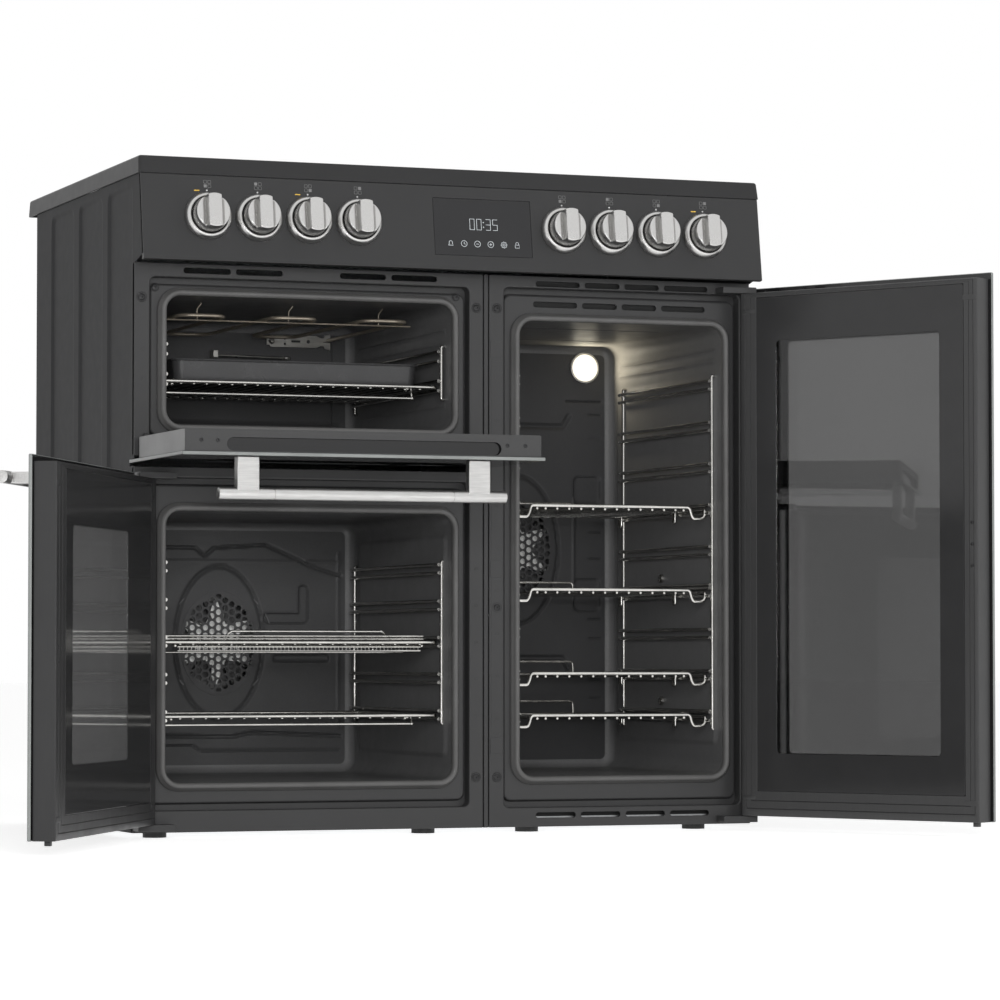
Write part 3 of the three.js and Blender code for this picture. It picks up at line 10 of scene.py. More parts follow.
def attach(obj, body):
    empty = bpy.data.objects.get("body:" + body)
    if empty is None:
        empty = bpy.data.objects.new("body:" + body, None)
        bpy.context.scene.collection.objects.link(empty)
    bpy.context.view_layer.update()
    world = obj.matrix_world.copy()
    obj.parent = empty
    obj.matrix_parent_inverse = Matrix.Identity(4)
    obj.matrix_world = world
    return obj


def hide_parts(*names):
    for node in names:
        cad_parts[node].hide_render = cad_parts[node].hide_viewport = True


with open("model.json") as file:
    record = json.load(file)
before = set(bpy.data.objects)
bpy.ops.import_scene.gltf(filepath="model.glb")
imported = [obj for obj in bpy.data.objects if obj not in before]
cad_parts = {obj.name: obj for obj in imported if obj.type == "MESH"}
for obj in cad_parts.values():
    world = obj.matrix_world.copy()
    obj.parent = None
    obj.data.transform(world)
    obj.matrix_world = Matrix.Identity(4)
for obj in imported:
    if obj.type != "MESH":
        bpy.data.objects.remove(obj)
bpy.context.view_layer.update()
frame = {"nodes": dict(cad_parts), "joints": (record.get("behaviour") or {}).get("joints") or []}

# A free-standing range cooker: ceramic hob, grill, fan oven and tall oven. Sizes are millimetres
# in the part's frame: +X to the user's right, +Y to the back, +Z up, origin under the chassis.
# The camera, the lights and the floor are placed in metres.
MM = 0.001
QUARTER = pi / 2
HOB_TOP, HOB_FOOT = 901.0, 877.0
FASCIA_TOP, FASCIA_FOOT = 876.7, 760.7
FASCIA_TOP_Y, FASCIA_FOOT_Y = -298.0, -315.3
SHEET, LINER_SHEET, FIT = 1.2, 1.5, 0.3  # two sheet thicknesses, and the gap left between pieces
BODY, BODY_BACK = 449.0, 254.0  # half the body's width, and its back
FRAME_FACE, FLANGE_FACE, GROOVE_FLOOR = -270.0, -260.0, -251.5
FRAME_TOP, FRAME_DEEP, FRAME_SEAT = FASCIA_FOOT - FIT, 8.0, -268.8
LEFT_FRAME_END, RIGHT_FRAME_START, STRIP = 47.5, 56.5, (49.0, 55.0)
POCKET = (487.3, 501.5)  # bottom and top of the gap beside the grill door's glass
HINGE_X, HINGE_Y, GRILL_HINGE = 443.0, -290.7, 526.5
DOOR_FACE, DOOR_GLASS, DOOR_INNER = -307.0, 4.5, -273.0
DOOR_BOTTOM, DOOR_TOP, MAIN_TOP, GRILL_BOTTOM = 12.0, 752.2, 478.7, 499.5
SEAM_LEFT, SEAM_RIGHT = 50.2, 53.8  # edges of the left and right doors
RACK_WIRE, DECK_WIRE = 2.5, 1.6
MAIN_PITCH, TALL_PITCH, RUNG_GAP = 50.2, 58.5, 11.4  # shelf levels, and the two wires of each
SHELF_FRONT, SHELF_BACK = -226.0, 98.0
TALL_FAN = 393.0  # height of the tall oven's fan
SLOT_LIP = 0.6
CORNER, BACK_BEND = 20.0, 12.0  # radii of a cavity's corners and of the edge to its back wall
PANEL_FRONT, LEAN_FROM = -268.5, -262.0  # the side panels' front edge, and where its lean begins
LEAN_FRONT, LEAN_SLOPE = -312.9, 0.149  # the front edge at the fascia's foot, and its slope above
HANDLE_OUT, POST_IN, POST_HALF = 48.5, 39.0, 15.0  # a handle's axis before the glass, and its posts


class Cavity:
    def __init__(self, x, wide, bottom, high, deep, recess):
        self.x, self.wide, self.bottom, self.top = x, wide, bottom, bottom + high
        self.left, self.right = x - wide / 2, x + wide / 2
        self.rect = (self.left, self.right, self.bottom, self.top)
        self.back = FLANGE_FACE + deep
        self.recess = recess  # left, right, bottom and top of the frame's opening


GRILL = Cavity(-200, 408, 544, 173.5, 418, (-427.4, 27.4, 520, 741.5))
MAIN = Cavity(-200, 408, 65.4, 363.8, 418, (-427.4, 27.4, 29, 473))
TALL = Cavity(255.8, 307.6, 69, 629.5, 402, (78.6, 433, 26.6, 743.7))


# ---------------------------------------------------------------- materials
class Shader:
    """A material built round one Principled shader, with short names for common nodes."""

    def __init__(self, name, color, roughness, metallic=0.0, **sockets):
        self.material = bpy.data.materials.new(name)
        self.material.use_nodes = True
        self.nodes = self.material.node_tree.nodes
        self.links = self.material.node_tree.links
        self.bsdf = self.nodes["Principled BSDF"]
        self.color = (*color, 1.0)
        self.bsdf.inputs["Base Color"].default_value = self.color
        self.bsdf.inputs["Roughness"].default_value = roughness
        self.bsdf.inputs["Metallic"].default_value = metallic
        for key, value in sockets.items():
            self.bsdf.inputs[key.replace("_", " ")].default_value = value
        self.roughness = roughness
        self.place = self.nodes.new("ShaderNodeTexCoord").outputs["Object"]

    def node(self, kind, source, into, out, **sockets):
        """Adds a node that a source feeds, and gives its output."""
        node = self.nodes.new("ShaderNode" + kind)
        for key, value in sockets.items():
            node.inputs[key.replace("_", " ")].default_value = value
        self.links.new(source, node.inputs[into])
        return node.outputs[out]

    def stretched(self, scale):
        return self.node("Mapping", self.place, "Vector", "Vector", Scale=scale)

    def noise(self, scale, detail=3.0, place=None):
        return self.node("TexNoise", place or self.place, "Vector", "Fac", Scale=scale, Detail=detail)

    def ramp(self, factor, low, high):
        return self.node(
            "MapRange", factor, "Value", "Result", From_Min=0.3, From_Max=0.7, To_Min=low, To_Max=high,
        )

    def tint(self, factor, low, high):
        """Varies the colour's brightness between two shares of itself."""
        mix = self.nodes.new("ShaderNodeMix")
        mix.data_type = "RGBA"
        mix.inputs["A"].default_value = (*(c * low for c in self.color[:3]), 1.0)
        mix.inputs["B"].default_value = (*(min(1.0, c * high) for c in self.color[:3]), 1.0)
        self.links.new(self.ramp(factor, 0.0, 1.0), mix.inputs["Factor"])
        self.links.new(mix.outputs["Result"], self.bsdf.inputs["Base Color"])

    def rough(self, factor, spread):
        varied = self.ramp(factor, self.roughness - spread, self.roughness + spread)
        self.links.new(varied, self.bsdf.inputs["Roughness"])

    def bump(self, factor, distance):
        normal = self.node("Bump", factor, "Height", "Normal", Distance=distance * MM, Strength=1.0)
        self.links.new(normal, self.bsdf.inputs["Normal"])

    def finished(self, tint, rough=None, bump=None, detail=3.0):
        """Varies the tint by (scale, low, high), the roughness by (scale, spread) and the
        height by (scale, millimetres), each over a noise of its own."""
        self.tint(self.noise(tint[0], detail), *tint[1:])
        if rough:
            self.rough(self.noise(rough[0]), rough[1])
        if bump:
            self.bump(self.noise(bump[0]), bump[1])
        return self.material


def enamel(name, color, roughness, specular=0.4):
    shader = Shader(name, color, roughness, Specular_IOR_Level=specular)
    return shader.finished((14.0, 0.96, 1.04), (60.0, 0.02), (300.0, 0.012))


def vitreous(name, color, roughness):
    shader = Shader(name, color, roughness, Specular_IOR_Level=0.5)
    return shader.finished((900.0, 0.85, 1.15), (40.0, 0.04), (160.0, 0.02), 1.0)


def brushed(name, color, roughness, along, metallic=1.0):
    shader = Shader(name, color, roughness, metallic)
    grain = shader.noise(1.0, 2.0, shader.stretched(along))
    shader.tint(grain, 0.9, 1.06)
    shader.rough(shader.noise(30.0), 0.04)
    shader.bump(grain, 0.02)
    return shader.material


def bright_wire(name):
    shader = Shader(name, (0.66, 0.65, 0.62), 0.18, 1.0)
    return shader.finished((45.0, 0.82, 1.05), (120.0, 0.05), (900.0, 0.02))


def gloss_print(name, color, roughness=0.06, specular=0.5):
    shader = Shader(name, color, roughness, Specular_IOR_Level=specular)
    return shader.finished((30.0, 0.96, 1.04), (12.0, 0.02))


def tinted_glass(name, color, clear=1.0):
    shader = Shader(name, color, 0.0, Transmission_Weight=clear, IOR=1.4)
    return shader.finished((4.0, 0.98, 1.02), detail=1.0)


def glowing(name, color, strength):
    shader = Shader(name, color, 0.4, Emission_Color=(*color, 1.0), Emission_Strength=strength)
    return shader.finished((200.0, 0.97, 1.03))


def matt(name, color, roughness):
    return Shader(name, color, roughness).finished((25.0, 0.9, 1.1), bump=(500.0, 0.08))


UPRIGHT = (900.0, 900.0, 30.0)  # a grain that runs up and down

MAT = {
    "enamel": enamel("satin_enamel", (0.034, 0.034, 0.035), 0.6, 0.1),
    "fascia": enamel("fascia_enamel", (0.021, 0.021, 0.0215), 0.42),
    # The front frames' enamel is set lighter than the fascia's as painted light, offsetting the shade
    # that the doors and the fascia cast on them; the cavity flanges take it too.
    "frame": enamel("front_frame_painted_light_enamel", (0.031, 0.031, 0.0315), 0.42),
    "hob_rim": enamel("hob_rim_enamel", (0.022, 0.022, 0.0225), 0.45, 0.25),
    # The cavity walls' enamel is set twice as light as the back walls' as painted light, offsetting the
    # dim light deep inside the cavities.
    "cavity": vitreous("cavity_enamel", (0.1, 0.1, 0.101), 0.36),
    "cavity_back": vitreous("cavity_back_enamel", (0.05, 0.05, 0.051), 0.45),
    # The same back-wall enamel made darker, as painted shade for the tall oven's back wall.
    "shaded_tall_back": vitreous("painted_shade_tall_back_enamel", (0.031, 0.031, 0.032), 0.5),
    "element": brushed("heated_tube", (0.42, 0.37, 0.3), 0.34, (80.0, 700.0, 700.0), 0.8),
    "pan": vitreous("pan_enamel", (0.03, 0.03, 0.031), 0.3),
    "chrome": bright_wire("chrome_wire"),
    "satin": brushed("satin_aluminium", (0.63, 0.625, 0.615), 0.38, (40.0, 500.0, 500.0)),
    "knob": brushed("knob_metal", (0.62, 0.615, 0.605), 0.3, (1800.0, 1800.0, 120.0)),
    "profile": brushed("door_profile", (0.042, 0.042, 0.0425), 0.42, UPRIGHT, 0.2),
    # The same door profile colour made darker, as painted shade for the main door, which faces the key
    # light more directly.
    "shaded_profile": brushed("painted_shade_door_profile", (0.024, 0.024, 0.0245), 0.42, UPRIGHT, 0.2),
    "cap": brushed("profile_end_cap", (0.2, 0.2, 0.2), 0.45, (40.0, 700.0, 700.0), 0.4),
    "zinc": brushed("zinc_sheet", (0.5, 0.51, 0.52), 0.42, (300.0, 300.0, 40.0)),
    "steel": brushed("bare_steel", (0.6, 0.59, 0.56), 0.3, (80.0, 700.0, 700.0)),
    # Near white as a painted reflection: the fan's glint seen through the back wall's holes.
    "fan": brushed("fan_painted_glint_sheet", (0.95, 0.95, 0.93), 0.3, (200.0, 200.0, 60.0), 0.5),
    "blade": brushed("fan_blade", (0.2, 0.2, 0.2), 0.4, (200.0, 200.0, 60.0)),
    "edge": matt("glass_edge", (0.2, 0.21, 0.205), 0.3),
    "screw": brushed("dark_screw", (0.025, 0.025, 0.026), 0.4, (500.0, 500.0, 500.0), 0.4),
    "gasket": matt("gasket_rubber", (0.085, 0.084, 0.083), 0.5),
    "foot": matt("foot_plastic", (0.02, 0.02, 0.02), 0.6),
    "print": gloss_print("printed_glass", (0.027, 0.027, 0.0275), 0.12, 0.3),
    "display": gloss_print("display_glass", (0.019, 0.019, 0.02), 0.3, 0.3),
    "black": gloss_print("black_glass", (0.01, 0.01, 0.0105), 0.05),
    "hob_glass": gloss_print("ceramic_glass", (0.008, 0.008, 0.009), 0.06),
    "clear": tinted_glass("tinted_glass", (0.54, 0.54, 0.54)),
    "screened": tinted_glass("screened_glass", (0.6, 0.6, 0.6), 0.88),
    "dark_clear": tinted_glass("dark_tinted_glass", (0.16, 0.16, 0.16)),
    "lamp": glowing("lamp_glass", (1.0, 0.93, 0.76), 0.9),
    "digit": glowing("lit_digit", (0.5, 0.53, 0.55), 0.2),
    "marking": matt("pale_marking", (0.16, 0.16, 0.16), 0.5),
    "dot": matt("pale_dot", (0.42, 0.42, 0.42), 0.5),
    "amber": matt("amber_marking", (0.6, 0.38, 0.06), 0.5),
    # A near black that stands for painted shade: the plates behind the vents and the rings in the
    # knobs' gaps.
    "dark": matt("painted_shade_black", (0.006, 0.006, 0.006), 0.7),
}


# ---------------------------------------------------------------- mesh helpers
def piece(name, bm, material, slot, replaces=None, body="cooker", place=None, crease=32.0):
    """Turns a mesh in millimetres into a piece that rides on a body."""
    bmesh.ops.delete(bm, geom=[vert for vert in bm.verts if not vert.link_faces], context="VERTS")
    bmesh.ops.remove_doubles(bm, verts=bm.verts, dist=1e-4)
    bmesh.ops.recalc_face_normals(bm, faces=bm.faces)
    flat = bm.faces.layers.int.get("flat")
    for face in bm.faces:
        face.smooth = True
    for edge in bm.edges:
        edge.smooth = len(edge.link_faces) == 2
        if edge.smooth:
            one, other = edge.link_faces
            small, large = sorted((one.calc_area(), other.calc_area()))
            turn = edge.calc_face_angle()
            beside_flat = large > 60.0 and large > 8.0 * small or flat and one[flat] != other[flat]
            edge.smooth = turn < radians(2.0 if beside_flat else crease)
    if flat:
        bm.faces.layers.int.remove(flat)
    bm.transform(Matrix.Scale(MM, 4))
    mesh = bpy.data.meshes.new(name)
    bm.to_mesh(mesh)
    bm.free()
    mesh.materials.append(MAT[material])
    obj = bpy.data.objects.new(name, mesh)
    bpy.context.scene.collection.objects.link(obj)
    if place is not None:
        obj.matrix_world = place
    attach(obj, body)
    if replaces:
        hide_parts(replaces)


def box(bm, x0, x1, y0, y1, z0, z1, bevel=0.0, segments=2):
    made = bmesh.ops.create_cube(bm, size=1.0)["verts"]
    size = Matrix.Diagonal((x1 - x0, y1 - y0, z1 - z0, 1.0))
    shift = Matrix.Translation(((x0 + x1) / 2, (y0 + y1) / 2, (z0 + z1) / 2))
    bmesh.ops.transform(bm, matrix=shift @ size, verts=made)
    if bevel:
        bm.edges.index_update()
        edges = {edge for vert in made for edge in vert.link_edges}
        edges = sorted(edges, key=lambda edge: edge.index)
        bmesh.ops.bevel(bm, geom=edges, offset=bevel, segments=segments, profile=0.5, affect="EDGES")
    return bm


def arc_points(centre, radius, start, stop, steps):
    angles = [start + (stop - start) * i / steps for i in range(steps + 1)]
    return [(centre[0] + radius * cos(angle), centre[1] + radius * sin(angle)) for angle in angles]


def rounded(a0, a1, b0, b1, radius, steps=8):
    """The outline of a rectangle with round corners, anticlockwise."""
    radius = max(0.05, min(radius, (a1 - a0) / 2 - 0.01, (b1 - b0) / 2 - 0.01))
    corners = [(a1 - radius, b0 + radius), (a1 - radius, b1 - radius)]
    corners += [(a0 + radius, b1 - radius), (a0 + radius, b0 + radius)]
    points = []
    for turn, corner in zip((-1, 0, 1, 2), corners):
        points += arc_points(corner, radius, turn * QUARTER, (turn + 1) * QUARTER, steps)
    return points


PLANES = {
    "xy": lambda a, b, depth: (a, b, depth),
    "xz": lambda a, b, depth: (a, depth, b),
    "zx": lambda a, b, depth: (b, depth, a),
}


def loft(bm, rings, closed=False, caps=False):
    """Skins rings that hold the same number of points."""
    rows = [[bm.verts.new(point) for point in ring] for ring in rings]
    for low, high in zip(rows, rows[1:] + rows[:1] if closed else rows[1:]):
        for i in range(len(low)):
            j = (i + 1) % len(low)
            bm.faces.new((low[i], low[j], high[j], high[i]))
    if caps:
        bm.faces.new(rows[0][::-1])
        bm.faces.new(rows[-1])
    return bm


def grown(rect, by):
    return (rect[0] - by, rect[1] + by, rect[2] - by, rect[3] + by)


def shell(bm, rings, plane="xz", closed=False, caps=False, steps=8):
    """Skins rings given as (rectangle, corner radius, depth)."""
    put = PLANES[plane]
    rows = [
        [put(a, b, depth) for a, b in rounded(*rect, radius, steps)] for rect, radius, depth in rings
    ]
    return loft(bm, rows, closed, caps)


def rim(bm, rect, radius, profile, plane="xz", steps=8):
    """Sweeps a closed profile of (outwards, depth) pairs round a rectangle with round corners."""
    rings = [(grown(rect, out), radius + out, depth) for out, depth in profile]
    return shell(bm, rings, plane, closed=True, steps=steps)


def slot_hole(a0, a1, b0, b1):
    """A slot with round ends, as a hole's outline."""
    return rounded(a0, a1, b0, b1, (b1 - b0) / 2, 6)


def merge(bm, part):
    mesh = bpy.data.meshes.new("part")
    part.to_mesh(mesh)
    part.free()
    bm.from_mesh(mesh)
    bpy.data.meshes.remove(mesh)
    return bm


def plate(bm, outline, holes, near, far, plane="xz", bevel=0.0):
    """A flat plate with holes, from one depth to another, with its edges slightly rounded."""
    curve = bpy.data.curves.new("outline", "CURVE")
    curve.dimensions = "2D"
    curve.fill_mode = "BOTH"
    thick = abs(far - near)
    curve.extrude = thick / 2 - bevel
    curve.bevel_depth = bevel
    curve.offset = -bevel
    curve.bevel_resolution = 1
    for loop in [outline, *holes]:
        spline = curve.splines.new("POLY")
        spline.points.add(len(loop) - 1)
        spline.use_cyclic_u = True
        for point, (a, b) in zip(spline.points, loop):
            point.co = (a, b, 0.0, 1.0)
    shape = bpy.data.objects.new("outline", curve)
    bpy.context.scene.collection.objects.link(shape)
    mesh = bpy.data.meshes.new_from_object(shape.evaluated_get(bpy.context.evaluated_depsgraph_get()))
    bpy.data.objects.remove(shape)
    bpy.data.curves.remove(curve)
    part = bmesh.new()
    part.from_mesh(mesh)
    bpy.data.meshes.remove(mesh)
    flat = part.faces.layers.int.new("flat")
    for face in part.faces:
        face[flat] = all(abs(abs(vert.co.z) - thick / 2) < 1e-3 for vert in face.verts)
    put = PLANES[plane]
    middle = (near + far) / 2
    for vert in part.verts:
        vert.co = put(vert.co.x, vert.co.y, middle + vert.co.z)
    return merge(bm, part)


def circle(x, z, radius, sides=24):
    return arc_points((x, z), radius, 0.0, 2 * pi * (sides - 1) / sides, sides - 1)


def spread(start, stop, step, fine=(), reach=5.0, fine_step=1.0):
    """Grid lines over a span, closer together near the places named in fine."""
    count = max(1, round((stop - start) / step))
    marks = [start + (stop - start) * i / count for i in range(count + 1)]
    near = int(reach / fine_step)
    for place in fine:
        marks += [place + fine_step * i for i in range(-near, near + 1)]
    marks = sorted(m for m in marks if start < m < stop)
    kept = [start]
    for mark in marks:
        if mark - kept[-1] > fine_step * 0.6 and stop - mark > fine_step * 0.6:
            kept.append(mark)
    return kept + [stop]


class Relief:
    """A sheet's depth over a grid of lines, pressed with channels and fields."""

    def __init__(self, a_lines, b_lines):
        self.lines = (a_lines, b_lines)
        self.a, self.b = np.meshgrid(a_lines, b_lines, indexing="ij")
        self.depth = np.zeros_like(self.a)

    def press(self, inside, edge, depth):
        """Presses what is inside a shape; its sides slope over the width of edge."""
        t = np.clip(inside / edge, 0.0, 1.0)
        made = depth * t * t * (3 - 2 * t)
        self.depth = np.where(np.abs(made) > np.abs(self.depth), made, self.depth)
        return self

    def stroke(self, points, half, edge, depth):
        """Presses a channel of a half-width along a path."""
        nearest = np.full_like(self.a, 1e6)
        for (a0, b0), (a1, b1) in zip(points, points[1:]):
            run = (a1 - a0) ** 2 + (b1 - b0) ** 2
            share = ((self.a - a0) * (a1 - a0) + (self.b - b0) * (b1 - b0)) / run
            share = np.clip(share, 0.0, 1.0)
            away = np.hypot(self.a - a0 - share * (a1 - a0), self.b - b0 - share * (b1 - b0))
            nearest = np.minimum(nearest, away)
        return self.press(half - nearest, edge, depth)

    def field(self, rect, radius, edge, depth):
        qa = np.abs(self.a - (rect[0] + rect[1]) / 2) - ((rect[1] - rect[0]) / 2 - radius)
        qb = np.abs(self.b - (rect[2] + rect[3]) / 2) - ((rect[3] - rect[2]) / 2 - radius)
        outside = np.hypot(np.maximum(qa, 0.0), np.maximum(qb, 0.0))
        inside = radius - outside - np.minimum(np.maximum(qa, qb), 0.0)
        return self.press(inside, edge, depth)

    def sheet(self, bm, put, base, thick, opening=None, wrap=False):
        """Adds the pressed sheet with its thickness, without its cells inside the opening."""
        a_lines, b_lines = self.lines
        layers = [
            [[bm.verts.new(put(a, b, base + self.depth[i, j] + extra)) for j, b in enumerate(b_lines)]
             for i, a in enumerate(a_lines)]
            for extra in (0.0, thick)
        ]
        near, far = layers
        count = len(a_lines)
        cells = count if wrap else count - 1

        def there(i, j):
            if wrap:
                i %= count
            if not (0 <= i < cells and 0 <= j < len(b_lines) - 1):
                return False
            return opening is None or not opening(
                (a_lines[i] + a_lines[i + 1]) / 2, (b_lines[j] + b_lines[j + 1]) / 2,
            )

        for i in range(cells):
            n = (i + 1) % count
            for j in range(len(b_lines) - 1):
                if not there(i, j):
                    continue
                bm.faces.new((near[i][j], near[n][j], near[n][j + 1], near[i][j + 1]))
                bm.faces.new((far[i][j], far[i][j + 1], far[n][j + 1], far[n][j]))
                sides = [
                    ((i, j - 1), (i, j), (n, j)), ((i, j + 1), (n, j + 1), (i, j + 1)),
                    ((i - 1, j), (i, j + 1), (i, j)), ((i + 1, j), (n, j), (n, j + 1)),
                ]
                for beyond, (a, b), (c, d) in sides:
                    if not there(*beyond):
                        bm.faces.new((near[c][d], near[a][b], far[a][b], far[c][d]))
        return bm


def filleted(points, radius):
    """A path with its corners rounded."""
    steps = 5
    path = [Vector(points[0])]
    for before, corner, after in zip(points, points[1:], points[2:]):
        before, corner, after = Vector(before), Vector(corner), Vector(after)
        to_before, to_after = (before - corner), (after - corner)
        reach = min(radius, to_before.length * 0.49, to_after.length * 0.49)
        start = corner + to_before.normalized() * reach
        stop = corner + to_after.normalized() * reach
        for i in range(steps + 1):
            t = i / steps
            path.append(start * (1 - t) ** 2 + corner * 2 * t * (1 - t) + stop * t**2)
    path.append(Vector(points[-1]))
    return path


def wire(bm, points, radius, bend=0.0, sides=10):
    """A round wire along a path, closed at its ends."""
    path = filleted(points, bend) if bend else [Vector(p) for p in points]
    path = [p for i, p in enumerate(path) if i == 0 or (p - path[i - 1]).length > 1e-4]
    tangents = []
    for i in range(len(path)):
        tangents.append((path[min(i + 1, len(path) - 1)] - path[max(i - 1, 0)]).normalized())
    side = tangents[0].orthogonal().normalized()
    rings = []
    for point, tangent in zip(path, tangents):
        side = (side - tangent * side.dot(tangent)).normalized()
        other = tangent.cross(side)
        rings.append([
            point + (side * cos(a) + other * sin(a)) * radius
            for a in (2 * pi * k / sides for k in range(sides))
        ])
    return loft(bm, rings, caps=True)


def lathe(bm, profile, sides=64, matrix=None, closed=False):
    """Turns a profile of (radius, height) pairs about the local Z axis."""
    narrowest = 0.01  # a ring this small stands for a point on the axis
    rings = []
    for radius, height in profile:
        points = [Vector((x, y, height)) for x, y in circle(0.0, 0.0, max(radius, narrowest), sides)]
        rings.append([matrix @ p for p in points] if matrix else points)
    return loft(bm, rings, closed, not closed)


def ring(bm, profile, sides=64, matrix=None):
    """Turns a closed profile, so that the middle stays open."""
    return lathe(bm, profile, sides, matrix, True)


def placed(x, y, z, angle=QUARTER, axis="X"):
    """A local frame at a point; with no turn named, its Z axis points to the front."""
    return Matrix.Translation((x, y, z)) @ Matrix.Rotation(angle, 4, axis)


def smoothstep(low, high, value):
    t = min(1.0, max(0.0, (value - low) / (high - low)))
    return t * t * (3 - 2 * t)


# ---------------------------------------------------------------- camera, light and floor
FOCAL_PIXELS, IMAGE_WIDE, SENSOR = 4015.1, 1000.0, 36.0
YAW, PITCH = radians(20.88), radians(2.233)
CAMERA_PLACE = (-1.8956, -5.4291, 0.2342)

camera_data = bpy.data.cameras.new("camera")
camera_data.sensor_width = SENSOR
camera_data.lens = FOCAL_PIXELS * SENSOR / IMAGE_WIDE
camera_data.clip_end = 60.0
camera = bpy.data.objects.new("camera", camera_data)
camera.location = CAMERA_PLACE
looking = Vector((sin(YAW) * cos(PITCH), cos(YAW) * cos(PITCH), sin(PITCH)))
camera.rotation_mode = "QUATERNION"
camera.rotation_quaternion = looking.to_track_quat("-Z", "Y")
bpy.context.scene.collection.objects.link(camera)
bpy.context.scene.camera = camera
bpy.context.scene.view_settings.view_transform = "Standard"


def seen_white(nodes, links, plain, white):
    """Mixes a plain level with white for what the camera, glossy and see-through rays meet."""
    path = nodes.new("ShaderNodeLightPath")
    seen = path.outputs["Is Camera Ray"]
    for kind in ("Is Glossy Ray", "Is Transmission Ray"):
        either = nodes.new("ShaderNodeMath")
        either.operation = "MAXIMUM"
        links.new(seen, either.inputs[0])
        links.new(path.outputs[kind], either.inputs[1])
        seen = either.outputs[0]
    mix = nodes.new("ShaderNodeMixShader")
    links.new(seen, mix.inputs[0])
    links.new(plain, mix.inputs[1])
    links.new(white, mix.inputs[2])
    return mix.outputs[0]


def set_world():
    world = bpy.data.worlds.new("studio")
    bpy.context.scene.world = world
    world.use_nodes = True
    nodes, links = world.node_tree.nodes, world.node_tree.links
    plain = nodes["Background"]
    plain.inputs["Color"].default_value = (1.0, 1.0, 1.0, 1.0)
    plain.inputs["Strength"].default_value = 0.28
    white = nodes.new("ShaderNodeBackground")
    white.inputs["Color"].default_value = (1.0, 1.0, 1.0, 1.0)
    white.inputs["Strength"].default_value = 1.0
    shader = seen_white(nodes, links, plain.outputs[0], white.outputs[0])
    links.new(shader, nodes["World Output"].inputs["Surface"])


def area_light(name, place, target, size, watts):
    data = bpy.data.lights.new(name, "AREA")
    data.shape = "RECTANGLE"
    data.size, data.size_y = size
    data.energy = watts
    light = bpy.data.objects.new(name, data)
    light.location = place
    aim = Vector(target) - Vector(place)
    light.rotation_euler = aim.to_track_quat("-Z", "Y").to_euler()
    light.visible_glossy = False
    bpy.context.scene.collection.objects.link(light)


def floor():
    bm = bmesh.new()
    bmesh.ops.create_grid(bm, x_segments=1, y_segments=1, size=30.0)
    mesh = bpy.data.meshes.new("floor")
    bm.to_mesh(mesh)
    bm.free()
    material = bpy.data.materials.new("floor")
    material.use_nodes = True
    nodes, links = material.node_tree.nodes, material.node_tree.links
    bsdf = nodes["Principled BSDF"]
    bsdf.inputs["Base Color"].default_value = (0.9, 0.9, 0.9, 1.0)
    bsdf.inputs["Roughness"].default_value = 0.9
    bsdf.inputs["Specular IOR Level"].default_value = 0.1
    glow = nodes.new("ShaderNodeEmission")
    glow.inputs["Strength"].default_value = 0.68
    add = nodes.new("ShaderNodeAddShader")
    links.new(bsdf.outputs[0], add.inputs[0])
    links.new(glow.outputs[0], add.inputs[1])
    shader = seen_white(nodes, links, bsdf.outputs[0], add.outputs[0])
    links.new(shader, nodes["Material Output"].inputs["Surface"])
    mesh.materials.append(material)
    obj = bpy.data.objects.new("floor", mesh)
    obj.location = (0.0, 0.0, -0.0075)
    bpy.context.scene.collection.objects.link(obj)


set_world()
floor()
area_light("key", (-1.5, -4.8, 0.9), (0.0, 0.0, 0.4), (1.8, 1.4), 190.0)
area_light("fill", (2.4, -3.6, 1.6), (0.0, 0.0, 0.4), (2.0, 2.0), 40.0)

# ---------------------------------------------------------------- carried-over nodes
CARRIED = {
    "base_pan": "zinc", "hob_heaters": "zinc", "main_fan_motor": "zinc", "tall_fan_motor": "zinc",
    **{node: "foot" for node in frame["nodes"] if node.startswith("front_foot")},
}
for node, material in CARRIED.items():
    mesh = frame["nodes"][node].data
    mesh.materials.clear()
    mesh.materials.append(MAT[material])


def turned_edge(
    bm, rect, radius, face, deep, roll=1.0, inwards=1, plane="xz", back=1, thick=SHEET, steps=8,
):
    """A sheet's edge bent back round an opening, or with inwards -1 round its own outline."""
    arc = [(roll * (1 - sin(t)), roll * (1 - cos(t))) for t in (0.0, 0.5, 1.0, QUARTER)]
    bend = max(roll, thick)
    path = arc + [(0.0, deep), (thick, deep), (thick, bend), (bend, thick), (roll, thick)]
    profile = [(inwards * out, face + back * depth) for out, depth in path]
    return rim(bm, rect, radius, profile, plane, steps)


def sheet_with_openings(bm, rect, radius, openings, slots, face, deep, plane="xz", back=1, thick=SHEET):
    """A pressed sheet: flat face, turned outline, turned openings (rect, radius, depth) and slots."""
    holes = [rounded(*grown(hole, 2.0), corner + 2.0) for hole, corner, _ in openings]
    holes += [slot_hole(*grown(slot, SLOT_LIP)) for slot in slots]
    plate(bm, rounded(*grown(rect, -1.0), radius), holes, face, face + back * thick, plane)
    turned_edge(bm, rect, radius, face, deep, 1.0, -1, plane, back, thick)
    for hole, corner, depth in openings:
        turned_edge(bm, hole, corner, face, depth, 2.0, 1, plane, back, thick)
    return slot_edges(bm, slots, face, thick + 1.0, plane, back)


def slot_edges(bm, slots, face, deep, plane="xz", back=1):
    for slot in slots:
        half = (slot[3] - slot[2]) / 2
        turned_edge(bm, slot, half, face, deep, SLOT_LIP, 1, plane, back, SLOT_LIP, 6)
    return bm


